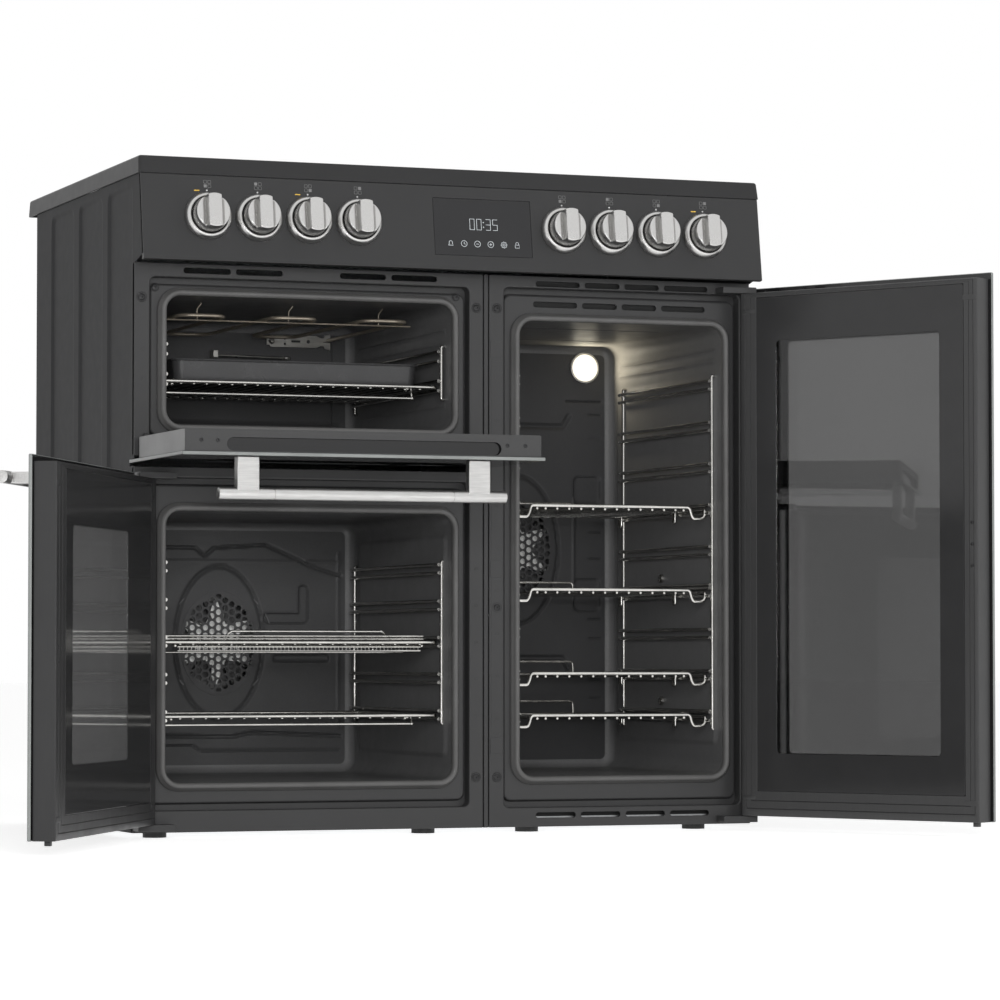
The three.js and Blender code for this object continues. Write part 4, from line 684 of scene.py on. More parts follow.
def add_screws(name, places, face, radius=5.6):
    """Round-headed screws with a socket, each in a pressed seat."""
    bm = bmesh.new()
    seat = [(radius + 1.6, -0.4), (radius + 1.5, 0.35), (radius + 0.9, 0.6), (radius + 0.3, 0.3)]
    seat.append((radius + 0.2, -0.4))
    head = [(0.0, 0.9), (0.9, 0.9), (1.2, 2.3), (2.4, 2.2), (3.8, 1.7)]
    head += [(radius - 0.8, 0.8), (radius - 0.6, -0.4)]
    for x, z in places:
        ring(bm, seat, 32, placed(x, face, z))
        lathe(bm, head, 32, placed(x, face, z))
    piece(name, bm, "screw", "enamel")


RECESS_DEEP = GROOVE_FLOOR - FRAME_FACE - FIT


def vent_row(centre, z0, z1, pairs):
    return [(centre + start, centre + start + wide, z0, z1) for start, wide in pairs]


GRILL_VENTS = [(-181.0, 66.0), (-107.6, 66.0), (40.0, 66.0), (114.0, 66.0)]
TALL_VENTS = [(-130.3, 65.5), (-57.1, 52.3), (2.7, 52.0), (62.6, 66.5)]
BASE_VENTS = [(-130.3, 59.0), (-63.5, 59.0), (3.8, 59.0), (70.8, 59.0)]


def pivot_bracket(bm, side, z0, pin_up):
    """A door's bracket with its hinge pin, which points up or down."""
    thick = 9.0
    x0, x1 = sorted((side * (HINGE_X + 5.4), side * (HINGE_X - 46.0)))
    box(bm, x0, x1, HINGE_Y - 6.3, FRAME_SEAT, z0, z0 + thick, 1.0)
    foot, flip = (z0 + thick, 1.0) if pin_up else (z0, -1.0)
    pin = Matrix.Translation((side * HINGE_X, HINGE_Y, foot)) @ Matrix.Scale(flip, 4, (0, 0, 1))
    lathe(bm, [(3.2, -2.0), (3.2, 9.6), (2.4, 10.8), (0.0, 10.8)], 24, pin)


def grill_lug(bm, edge, inwards):
    """A round lug on the frame with the grill door's pin."""
    radius = 5.0
    x0, x1 = sorted((edge - inwards * 8.2, edge - inwards * SHEET))
    along = placed(x0, DOOR_INNER, GRILL_HINGE, axis="Y")
    barrel = [(4.4, 0.0), (radius, 0.6), (radius, x1 - x0 - 0.6), (4.4, x1 - x0)]
    lathe(bm, barrel, 32, along)
    box(bm, x0, x1, DOOR_INNER, FRAME_SEAT, GRILL_HINGE - radius, GRILL_HINGE + radius, 0.4)
    pin = placed(edge, DOOR_INNER, GRILL_HINGE, inwards * QUARTER, "Y")
    lathe(bm, [(3.2, -2.0), (3.2, 13.2), (2.6, 14.2), (0.0, 14.2)], 24, pin)


def level_marks(bm, x, heights, face):
    """Small stamped rings that mark the shelf levels, one at each level."""
    stamp = [(2.6, -0.3), (2.6, 0.25), (2.2, 0.4), (1.8, 0.25), (1.8, -0.3)]
    for z in heights:
        ring(bm, stamp, 20, placed(x, face, z))


def add_left_frame():
    """The frame round the grill and the main oven, with the strip between the doors."""
    bm = bmesh.new()
    slots = vent_row(GRILL.x, 747.35, 754.85, GRILL_VENTS)
    back = FRAME_FACE + FRAME_DEEP
    parts = ((POCKET[1], FRAME_TOP, GRILL, slots), (0.0, POCKET[0], MAIN, []))
    for z0, z1, cavity, vents in parts:
        rect, opening = (-BODY, LEFT_FRAME_END, z0, z1), (cavity.recess, 8.0, RECESS_DEEP)
        sheet_with_openings(bm, rect, 1.6, [opening], vents, FRAME_FACE, FRAME_DEEP)
    for z0, z1, _, _ in reversed(parts):
        box(bm, LEFT_FRAME_END - SHEET, STRIP[1], back - SHEET, back, z0, z1)
        box(bm, *STRIP, FRAME_FACE, back - SHEET, z0, z1, 0.8)
    pivot_bracket(bm, -1, 2.7, True)
    pivot_bracket(bm, -1, 470.3, False)
    grill_lug(bm, GRILL.recess[0], 1)
    grill_lug(bm, GRILL.recess[1], -1)
    level_marks(bm, 37.6, [MAIN.bottom + 88 + MAIN_PITCH * i for i in range(5)], FRAME_FACE)
    level_marks(bm, -438.0, [GRILL.bottom + rise for rise in (60.0, 100.0)], FRAME_FACE)
    piece("left_frame_sheet", bm, "frame", "enamel", "left_front_frame")
    add_screws("left_frame_screws", ((-439, 713.5), (37.8, 713.3), (37.1, 69)), FRAME_FACE)


def add_right_frame():
    bm = bmesh.new()
    slots = vent_row(TALL.x, 746.0, 753.5, TALL_VENTS) + vent_row(TALL.x, 12.1, 19.6, BASE_VENTS)
    rect = (RIGHT_FRAME_START, BODY, 0.0, FRAME_TOP)
    sheet_with_openings(bm, rect, 1.6, [(TALL.recess, 8.0, RECESS_DEEP)], slots, FRAME_FACE, FRAME_DEEP)
    pivot_bracket(bm, 1, 2.7, True)
    pivot_bracket(bm, 1, 743.8, False)
    lap = FRAME_FACE + 0.1
    for z0, z1 in ((645.5, 669.7), (342.7, 366.4), (100.6, 123.6)):
        plate(bm, rounded(58.2, 76.4, z0, z1, 0.8, 3), [], FRAME_FACE - 0.7, lap, bevel=0.35)
    for z0, z1 in ((371.0, 641.0), (128.0, 338.0)):
        plate(bm, rounded(59.4, 75.2, z0, z1, 1.2, 3), [], FRAME_FACE - 0.4, lap, bevel=0.2)
    level_marks(bm, 67.8, [TALL.bottom + 80 + TALL_PITCH * i for i in range(9)], FRAME_FACE - 0.4)
    for x, top in ((437.0, 735.0), (443.5, 742.0)):
        plate(bm, slot_hole(28.0, top, x - 1.4, x + 1.4), [], FRAME_FACE - 1.2, lap, "zx", 0.5)
    piece("right_frame_sheet", bm, "frame", "enamel", "right_front_frame")
    # Near-black plates behind the vent slots, as painted shade, so that the vents read dark instead of
    # showing what lies behind them.
    bm = box(bmesh.new(), RIGHT_FRAME_START + 4, BODY - 6, -259.0, -257.0, 3.0, 22.0)
    box(bm, RIGHT_FRAME_START + 4, BODY - 30, -262.5, -261.0, 743.0, FRAME_TOP - 1.0)
    box(bm, TALL.x - 136, TALL.x + 136, FLANGE_FACE + 5.0, FLANGE_FACE + 6.5, 715.5, 728.7)
    piece("vent_shade_plates", bm, "dark", "enamel")
    add_screws("right_frame_screws", ((67.8, 713.7), (67.8, 301.6), (67.8, 68.8)), FRAME_FACE)


add_left_frame()
add_right_frame()

# ---------------------------------------------------------------- cavities
def round_walls(cavity):
    """Lines round a cavity's mouth, and the place that a line and a depth stand for."""
    x0, x1, z0, z1 = cavity.rect
    runs = [
        ("line", (x0 + CORNER, z0), (1, 0), x1 - x0 - 2 * CORNER, (0, -1)),
        ("arc", (x1 - CORNER, z0 + CORNER), -QUARTER),
        ("line", (x1, z0 + CORNER), (0, 1), z1 - z0 - 2 * CORNER, (1, 0)),
        ("arc", (x1 - CORNER, z1 - CORNER), 0.0),
        ("line", (x1 - CORNER, z1), (-1, 0), x1 - x0 - 2 * CORNER, (0, 1)),
        ("arc", (x0 + CORNER, z1 - CORNER), QUARTER),
        ("line", (x0, z1 - CORNER), (0, -1), z1 - z0 - 2 * CORNER, (-1, 0)),
        ("arc", (x0 + CORNER, z0 + CORNER), pi),
    ]
    bend = CORNER * pi / 2
    starts, lines, at = [], [], 0.0
    for run in runs:
        length = run[3] if run[0] == "line" else bend
        starts.append(at)
        count = round(length / 3.0) if run[0] == "line" else 8
        lines += [at + length * i / count for i in range(count)]
        at += length
    starts.append(at)

    def put(along, y, out):
        i = max(k for k in range(8) if starts[k] <= along + 1e-6)
        run, rest = runs[i], along - starts[i]
        if run[0] == "line":
            (px, pz), (dx, dz), (nx, nz) = run[1], run[2], run[4]
            return (px + dx * rest + nx * out, y, pz + dz * rest + nz * out)
        angle = run[2] + rest / CORNER
        reach = CORNER + out
        return (run[1][0] + reach * cos(angle), y, run[1][1] + reach * sin(angle))

    return lines, starts, put


def liner_walls(cavity, press):
    """The four walls as one pressed tube that narrows into the rounded edge of the back wall."""
    lines, starts, put = round_walls(cavity)
    start = cavity.back - BACK_BEND
    depths = spread(FLANGE_FACE, start, 5.0)
    depths += [start + BACK_BEND * sin(t * pi / 12) for t in range(1, 7)]
    relief = Relief(lines, depths)
    right = lambda z: starts[2] + z - cavity.bottom - CORNER
    left = lambda z: starts[6] + cavity.top - CORNER - z
    top = lambda x: starts[4] + cavity.right - CORNER - x
    press(relief, right, left, top)
    tail = np.clip((relief.b - start) / BACK_BEND, 0.0, 1.0)
    relief.depth -= BACK_BEND * (1 - np.sqrt(1 - tail**2)) * (tail > 0)
    return relief.sheet(bmesh.new(), put, 0.0, LINER_SHEET, wrap=True)


def flange(bm, cavity, slots):
    """The stepped flange round the mouth: a raised face, its rounded step and the lap behind."""
    rx0, rx1, rz0, rz1 = cavity.recess
    face = (rx0 + 3, rx1 - 3, rz0 + 9, rz1 - 9)
    lap = grown(cavity.recess, 7.5)
    mouth = grown(cavity.rect, LINER_SHEET)
    holes = [rounded(*mouth, CORNER + LINER_SHEET)]
    holes += [slot_hole(*grown(slot, SLOT_LIP)) for slot in slots]
    plate(bm, rounded(*grown(face, -3.0), 8.0), holes, FLANGE_FACE, FLANGE_FACE + LINER_SHEET)
    thick = LINER_SHEET
    arc = [(sin(t), 1 - cos(t)) for t in (0.0, 0.4, 0.8, 1.2, QUARTER)]
    outer = [(-3 + 3 * s, FLANGE_FACE + 3 * c) for s, c in arc]
    inner = [(-3 + 1.5 * s, FLANGE_FACE + 1.5 + 1.5 * c) for s, c in arc]
    rings = [(grown(face, out), 11.0 + out, depth) for out, depth in outer]
    rings += [(grown(face, 0.6), 11.6, GROOVE_FLOOR - 0.6), (grown(face, 1.4), 12.4, GROOVE_FLOOR)]
    rings += [(lap, 12.0, GROOVE_FLOOR), (lap, 12.0, GROOVE_FLOOR + thick)]
    rings += [(grown(face, -0.4), 10.6, GROOVE_FLOOR + thick)]
    rings += [(grown(face, out), 11.0 + out, depth) for out, depth in reversed(inner)]
    shell(bm, rings, closed=True)
    return slot_edges(bm, slots, FLANGE_FACE, 3.0)


def hex_holes(x, z, half_x, half_z):
    """Places of a lattice of holes that fills a hexagon with its corners up and down."""
    across, high = 9.9, 11.3
    places = []
    for i in range(-int(half_x / across), int(half_x / across) + 1):
        for j in range(-int(half_z / high) - 1, int(half_z / high) + 2):
            dx, dz = across * i, high * (j + (i % 2) / 2)
            if abs(dz) <= half_z - abs(dx) * 0.62:
                places.append((x + dx, z + dz))
    return places


def back_wall(cavity, press, grille=None):
    """The pressed back wall, with a perforated plate let into it in front of the fan."""
    rect = grown(cavity.rect, -BACK_BEND)
    opening = None
    bm = bmesh.new()
    if grille:
        x, z, half_x, half_z = grille
        opening = lambda a, b: ((a - x) / half_x) ** 2 + ((b - z) / (half_z + 1)) ** 2 < 1.0
        holes = [circle(hx, hz, 4.2, 14) for hx, hz in hex_holes(x, z, half_x, half_z)]
        outline = oval(x, z, half_x + 5.5, half_z + 6)[:-1]
        plate(bm, outline, holes, cavity.back - 0.4, cavity.back + LINER_SHEET, bevel=0.3)
    relief = Relief(spread(rect[0], rect[1], 2.2), spread(rect[2], rect[3], 2.2))
    press(relief)
    corner = 8.0
    inside = np.minimum.reduce([
        relief.a - rect[0], rect[1] - relief.a, relief.b - rect[2], rect[3] - relief.b,
    ])
    relief.depth *= np.clip(inside / corner, 0.0, 1.0)
    return relief.sheet(bm, PLANES["xz"], cavity.back, LINER_SHEET, opening)


def oval(x, z, half_x, half_z):
    return [(x + half_x * cos(2 * pi * i / 56), z + half_z * sin(2 * pi * i / 56)) for i in range(57)]


def press_main_back(relief):
    relief.stroke(oval(MAIN.x, 255, 66.5, 110), 4.4, 4.4, 3.0)
    relief.stroke([(-72, 331), (-72, 290), (-126, 290)], 9.0, 4.0, 4.5)
    relief.stroke([(-112, 232), (-38, 232)], 7.0, 4.0, 3.5)
    band = [(-388, 392), (-236, 392), (-222, 380), (-208, 392), (-130, 397), (-60, 366), (-14, 352)]
    relief.stroke(band, 3.4, 3.2, 2.8)
    relief.stroke([(-388, 372), (-14, 372)], 2.4, 2.4, -1.6)
    relief.stroke([(-388, 121), (-180, 118), (-150, 124), (-14, 118)], 3.6, 3.2, 3.2)
    foot = [(-388, 98), (-352, 98), (-342, 106), (-240, 106), (-228, 98), (-16, 98)]
    relief.stroke(foot, 2.4, 2.4, 2.2)
    relief.stroke([(-18, 130), (-18, 385)], 2.6, 3.0, -2.0)


def press_tall_back(relief):
    relief.stroke(oval(TALL.x, TALL_FAN, 66.5, 110), 4.4, 4.4, 3.0)
    for z in (560.0, 250.0):
        sign = 1 if z > TALL_FAN else -1
        relief.stroke([
            (120, z - 10 * sign), (160, z - 10 * sign), (184, z + 18 * sign), (330, z + 18 * sign),
            (340, z + 34 * sign),
        ], 5.0, 4.0, 3.2)
    for z0, z1 in ((462, 505), (300, 352)):
        relief.field((346, 392, z0, z1), 10.0, 4.0, 3.0)
    for side in (-1, 1):
        relief.stroke([(TALL.x + side * 92, 470), (TALL.x + side * 92, 320)], 2.4, 2.6, -1.6)
    relief.stroke([(336, 616), (393, 616)], 2.6, 2.6, 2.4)
    for z in (596, 560, 420, 380, 290, 262, 200, 172):
        relief.stroke([(372, z), (392, z)], 1.8, 1.6, 1.6)


def press_grill_back(relief):
    relief.stroke([(-382, 648), (-200, 648), (-186, 640), (-18, 640)], 3.0, 3.0, 2.4)
    relief.stroke([(-382, 574), (-18, 574)], 3.0, 3.0, 2.4)
    relief.stroke([(-30, 560), (-30, 700)], 2.6, 3.0, -2.0)


def press_oven_side(relief, right, left, top, cavity, field):
    y0, y1, z0, z1 = field
    for level in (right, left):
        a0, a1 = sorted((level(z0), level(z1)))
        relief.field((a0, a1, y0, y1), 14.0, 5.0, -2.6)
        for share in (0.35, 0.68):
            y = y0 + share * (y1 - y0)
            relief.stroke([(a0 + 16, y), (a1 - 16, y)], 1.6, 1.6, 1.2)
    for y in (-150.0, 40.0):
        relief.stroke([(top(cavity.left + 50), y), (top(cavity.right - 50), y)], 4.0, 4.0, 2.4)


def press_tall_side(relief, right, left, top):
    press_oven_side(relief, right, left, top, TALL, (-246, 118, 110, 632))
    for level in (right, left):
        for z in (652.0, 666.0):
            relief.stroke([(level(z), -236), (level(z), 112)], 3.0, 3.0, -2.0)


def press_grill_side(relief, right, left, top):
    for level in (right, left):
        for z in (682.0, 664.0, 580.0):
            relief.stroke([(level(z), -236), (level(z), 128)], 3.4, 3.4, -2.2)


# The gasket's section: outwards from the mouth, and its depth.
BEAD = [
    (-0.2, -261.5), (-0.2, -268.5), (0.6, -270.6), (2.4, -272.2), (4.6, -272.7), (6.6, -271.4),
    (7.6, -269.2), (8.4, -266.8), (10.2, -264.8), (11.0, -262.6), (10.8, -260.4), (0.4, -260.4),
]


def add_liners():
    slots = vent_row(TALL.x, 718.35, 725.85, TALL_VENTS)
    press_main_side = lambda *walls: press_oven_side(*walls, MAIN, (-246, 128, 96, 402))
    main_grille, tall_grille = (-201, 253.5, 53, 70), (TALL.x, TALL_FAN, 53, 70)
    rows = [
        ("grill", GRILL, press_grill_side, press_grill_back, "cavity_back", None, []),
        ("main", MAIN, press_main_side, press_main_back, "cavity_back", main_grille, []),
        # The tall oven's back wall takes the darker copy of the back enamel as painted shade.
        ("tall", TALL, press_tall_side, press_tall_back, "shaded_tall_back", tall_grille, slots),
    ]
    for name, cavity, press_side, press_back, shade, grille, vents in rows:
        walls = liner_walls(cavity, press_side)
        piece(f"{name}_cavity_walls", walls, "cavity", "cavity_enamel", f"{name}_liner")
        piece(f"{name}_cavity_flange", flange(bmesh.new(), cavity, vents), "frame", "cavity_enamel")
        back = back_wall(cavity, press_back, grille)
        piece(f"{name}_cavity_back", back, shade, "cavity_enamel")
        bead = rim(bmesh.new(), cavity.rect, CORNER, BEAD)
        piece(f"{name}_gasket", bead, "gasket", "gasket", f"{name}_seal", crease=60.0)
    add_screws("grill_flange_screws", ((-418, 728), (10.8, 728.2)), FLANGE_FACE, 4.4)


def add_fan(name, x, z, y0):
    """A six-armed plate on the hub, coloured near white as a painted reflection of the fan seen through
    the holes, with darker blades round it.
    """
    body = f"{name}_fan_rotor"
    arms = []
    for i in range(12):
        angle, reach = QUARTER + pi * i / 6, (66.0, 30.0)[i % 2]
        arms.append((x + reach * cos(angle), z + reach * sin(angle)))
    bm = plate(bmesh.new(), arms, [circle(x, z, 4.2)], y0 + 11.8, y0 + 13.0)
    hub = [(10.0, 0.4), (11.0, 1.2), (11.0, 13.5), (10.0, 14.4), (4.2, 14.4), (4.2, 0.4)]
    ring(bm, hub, 32, placed(x, y0 + 14.8, z))
    piece(f"{name}_fan_wheel", bm, "fan", "bare_sheet", f"{name}_fan", body)
    bm = bmesh.new()
    for i in range(12):
        blade = bmesh.new()
        box(blade, 34.0, 66.0, 1.0, 13.4, -0.6, 0.6, 0.3)
        for vert in blade.verts:
            vert.co.z += 6.0 * ((vert.co.x - 34.0) / 32.0) ** 2
        blade.transform(placed(x, y0, z, pi * (i + 0.5) / 6, "Y"))
        merge(bm, blade)
    hoop = [(60.0, 13.2), (67.6, 13.2), (67.6, 14.4), (60.0, 14.4)]
    ring(bm, hoop, 72, placed(x, y0, z, -QUARTER))
    piece(f"{name}_fan_blades", bm, "blade", "bare_sheet", None, body)


def add_fan_cover(name, cavity, x, z):
    """The drum behind the back wall that the fan turns in."""
    drum = [(80.5, 0.0), (82.0, 0.0), (82.0, 34.0), (79.0, 36.5)]
    drum += [(6.0, 36.5), (6.0, 35.0), (78.0, 35.0), (80.5, 33.0)]
    bm = ring(bmesh.new(), drum, 72, placed(x, cavity.back + LINER_SHEET, z, -QUARTER))
    piece(f"{name}_fan_cover", bm, "cavity", "cavity_enamel")


def add_lamp():
    x, y, z = 364.6, TALL.back - FIT, 666.5
    seat = placed(x, y, z)
    bezel = [(23.5, 0.0), (23.5, 1.6), (22.6, 3.0), (19.6, 3.2), (19.4, 2.4), (17.0, 2.4), (8.0, 1.0)]
    dome = [(20.0, 1.5), (20.2, 3.4), (18.0, 5.0), (12.0, 5.8), (0.0, 6.0)]
    piece("lamp_bezel", lathe(bmesh.new(), bezel, 72, seat), "satin", "chrome_wire")
    piece("lamp_dome", lathe(bmesh.new(), dome, 72, seat), "lamp", "lamp_glass", "tall_oven_lamp")
    data = bpy.data.lights.new("oven_lamp", "AREA")
    data.shape, data.size, data.energy, data.color = "DISK", 0.03, 0.36, (1.0, 0.89, 0.66)
    light = bpy.data.objects.new("oven_lamp", data)
    light.location = (x * MM, (y - 9.0) * MM, z * MM)
    light.rotation_euler = (-QUARTER, 0.0, 0.0)
    light.visible_camera = light.visible_glossy = False
    bpy.context.scene.collection.objects.link(light)


def add_grill_parts():
    bm = bmesh.new()
    z, x0, step = 697.5, -364.0, 65.6
    near, far = FLANGE_FACE + 60, GRILL.back - 40
    points = [(x0, GRILL.back - 0.5, z), (x0, far, z)]
    for run in range(6):
        ends = (near, far) if run % 2 == 0 else (far, near)
        points += [(x0 + run * step, ends[0], z), (x0 + min(run + 1, 5) * step, ends[0], z)]
    points = points[:-1] + [(x0 + 5 * step, GRILL.back - 0.5, z)]
    wire(bm, points, 2.6, 24.0, 12)
    piece("grill_element_tube", bm, "element", "element_steel", "grill_element")
    bm = bmesh.new()
    y = near + 34
    wire(bm, [(x0 - 14, y, z - 3.8), (x0 + 5 * step + 14, y, z - 3.8)], 1.2, 0.0, 10)
    for k in (0, 2, 4):
        x = x0 + (k + 0.5) * step
        wire(bm, [(x, y, z - 3.8), (x, y, z + 12), (x + 6, y, GRILL.top - 0.4)], 0.9, 3.0, 8)
    piece("grill_element_hangers", bm, "element", "element_steel")
    bm = bmesh.new()
    fish = [
        (-130, 689), (-126, 689), (-124, 686), (-54, 686), (-47, 689), (-42, 689), (-41, 685),
        (-32, 683), (-32, 694.4), (-43, 694.6), (-43, 695.4), (-32, 695.6), (-32, 707), (-41, 705),
        (-42, 701), (-47, 701), (-54, 704), (-124, 704), (-126, 701), (-130, 701),
    ]
    holes = [circle(-122, 695, 4.2, 20), circle(-102, 699, 1.6, 12), circle(-102, 691, 1.6, 12),
             circle(-66, 695, 2.6, 16), slot_hole(-92, -78, 693.6, 696.4)]
    plate(bm, fish, holes, GRILL.back - 3.0, GRILL.back - 1.0, bevel=0.5)
    rivet = [(3.6, 0.4), (3.6, 4.2), (2.4, 5.4), (0.0, 5.6)]
    lathe(bm, rivet, 20, placed(-122, GRILL.back - 0.2, 695))
    piece("element_bracket", bm, "steel", "element_steel")
    bm = wire(bmesh.new(), [(-214, GRILL.back - 14, 671), (-98, GRILL.back - 14, 669)], 2.1, 0.0, 14)
    box(bm, -216, -208, GRILL.back - 19, GRILL.back - 0.5, 667, 678, 0.8)
    box(bm, -106, -100, GRILL.back - 17, GRILL.back - 0.5, 667, 671.5, 0.6)
    piece("grill_probe", bm, "steel", "element_steel")


def add_grill_pan():
    """The grill pan: a tray with a rolled rim and a pressed floor."""
    rect = (GRILL.x - 178.2, GRILL.x + 178.2, -210.0, 70.0)
    low, high = 605.35, 637.85
    tray = [
        (-6, 10.0, high - 0.6), (-2, 13.0, high - 0.4), (-0.6, 14.0, high - 0.2), (0, 14.0, high - 1.6),
        (-0.8, 14.0, high - 3.2), (-2.8, 13.0, high - 2.4), (-6.5, 11.0, low + 3), (-9, 9.0, low),
        (-60, 6.0, low), (-60, 6.0, low + 1.5), (-9, 8.0, low + 1.5), (-8.0, 9.0, low + 3.2),
    ]
    raised = [(-60, 6.0, low), (-62, 5.0, low + 1.5), (-64, 4.0, low + 3.0)]
    rings = lambda section: [(grown(rect, out), corner, z) for out, corner, z in section]
    bm = shell(bmesh.new(), rings(tray), "xy", closed=True)
    shell(bm, rings(raised), "xy", caps=True)
    piece("grill_pan_tray", bm, "pan", "cavity_enamel", "grill_pan", "grill_sliding_shelf")


add_liners()
for fan, cavity, x, z in (("main", MAIN, MAIN.x, 255.4), ("tall", TALL, TALL.x, TALL_FAN)):
    add_fan(fan, x, z, cavity.back + 6.0)
    add_fan_cover(fan, cavity, x, z)
add_lamp()
add_grill_parts()
add_grill_pan()


# ---------------------------------------------------------------- racks and shelves
def wires(node, bm, body="cooker"):
    piece(f"{node}_wires", bm, "chrome", "chrome_wire", node, body)


def rack(bm, cavity, side, rungs, front, rear, low, high):
    """Two uprights bent into the wall, and rungs with a stop at the back."""
    wall = cavity.left if side < 0 else cavity.right
    root, upright, rung = wall - side * 0.3, wall - side * 4.5, wall - side * 9.0
    for y in (front, rear):
        ends = [(root, low - 3), (upright, low - 3), (upright, high + 3), (root, high + 3)]
        wire(bm, [(x, y, z) for x, z in ends], RACK_WIRE, 5.0)
    for z in rungs:
        wire(bm, [
            (rung, front - 2.5, z), (rung, rear - 4, z), (rung + side * 3.6, rear + 5, z),
            (rung + side * 3.6, rear + 14.0, z),
        ], RACK_WIRE, 3.0)
    return bm


def tall_level(i):
    return TALL.bottom + 75.2 + TALL_PITCH * i


def main_level(i):
    return MAIN.bottom + 83.0 + MAIN_PITCH * i


def add_racks():
    tall, main = [tall_level(i) for i in range(9)], [main_level(i) for i in range(5)]
    pairs = lambda levels: [z for level in levels for z in (level, level + RUNG_GAP)]
    for side, label in ((-1, "left"), (1, "right")):
        bm = rack(bmesh.new(), TALL, side, pairs(tall), -238.2, 86.0, tall[0] - 9, tall[-1] + 16)
        for z in (170.1, 347.8):
            wall = (TALL.left if side < 0 else TALL.right) - side * 0.5
            wire(bm, [(wall - side * 6.5, -236, z - 12), (wall - side * 6.5, 84, z - 12)], 1.6)
            nut = [(9.0, 0.0), (9.0, 1.2), (6.4, 2.2), (6.0, 5.4), (4.6, 6.6), (0.0, 6.8)]
            lathe(bm, nut, 32, placed(wall, -54.0, z, -side * QUARTER, "Y"))
        wires(f"tall_rack_{label}", bm)
        bm = rack(bmesh.new(), MAIN, side, pairs(main), -235.5, 135.0, main[0] - 3, main[-1] + 13)
        wires(f"main_rack_{label}", bm)
    bm = bmesh.new()
    rungs = [GRILL.bottom + rise for rise in (56.4, 70.0, 97.0, 110.4)]
    for side in (-1, 1):
        rack(bm, GRILL, side, rungs, -234.2, 135.0, rungs[0] - 9, rungs[-1] + 4)
    wire(bm, [(GRILL.left + 9, 146.5, rungs[1]), (GRILL.right - 9, 146.5, rungs[1])], RACK_WIRE)
    piece("grill_cradle_wires", bm, "chrome", "chrome_wire", "grill_rack")


def ball(bm, x, y, z, radius):
    steps = [pi * i / 8 - QUARTER for i in range(9)]
    profile = [(radius * cos(t), radius * sin(t)) for t in steps]
    return lathe(bm, profile, 20, Matrix.Translation((x, y, z)))


def shelf(cavity, rail_z, stepped, deck_offsets, guard=None):
    """A wire shelf, with stepped front corners in the tall oven and maybe a guard across its deck."""
    bm = bmesh.new()
    x, half = cavity.x, cavity.wide / 2 - 9.8
    y0, y1 = SHELF_FRONT, SHELF_BACK
    steps = [(0, 0), (half, 0)]
    if stepped:
        steps = [(0, 0), (1, -10), (6, -13), (18, -13), (21, -8), (24, 3), (half, 3)]
    for side in (-1, 1):
        rail = [(x, y1, rail_z), (x + side * half, y1, rail_z)]
        rail += [(x + side * (half - inset), y0, rail_z + rise) for inset, rise in steps]
        wire(bm, rail, RACK_WIRE, 4.0, 12)
        for y in (-129.0, 71.0) if stepped else ():
            loop = [(y - 4, -1), (y - 4, -16), (y + 4, -16), (y + 4, -1)]
            inner = x + side * (half - 6)
            wire(bm, [(inner, along, rail_z + rise) for along, rise in loop], 1.6, 3.5, 8)
    deck = rail_z - 2.05 + (1.0 if stepped else 0.0)
    for offset in deck_offsets:
        wire(bm, [(x + offset, y0, deck), (x + offset, y1, deck)], DECK_WIRE)
    if guard:
        y, left, right, rise, spread_out = guard
        wire(bm, [
            (x + left - spread_out, y, rail_z), (x + left, y, rail_z + rise),
            (x + right, y, rail_z + rise), (x + right + spread_out, y, rail_z),
        ], 2.0, 5.0)
    return bm


def lower_wire(bm, cavity, rail_z, drop):
    """A second wire hung under the front bar, with ball ends."""
    y, left, right = -218.0, cavity.left + 10, cavity.left + 366
    wire(bm, [(left, y, rail_z - drop), (right, y, rail_z - drop)], 1.9, 0.0, 12)
    for x, inwards in ((left, 1), (right, -1)):
        ball(bm, x, y, rail_z - drop, 2.9)
        wire(bm, [(x, y, rail_z - drop), (x, y + 4, rail_z - 0.5)], 1.4, 0.0, 8)
        ball(bm, x + inwards * 11, -221.5, rail_z - 3.2, 3.0)


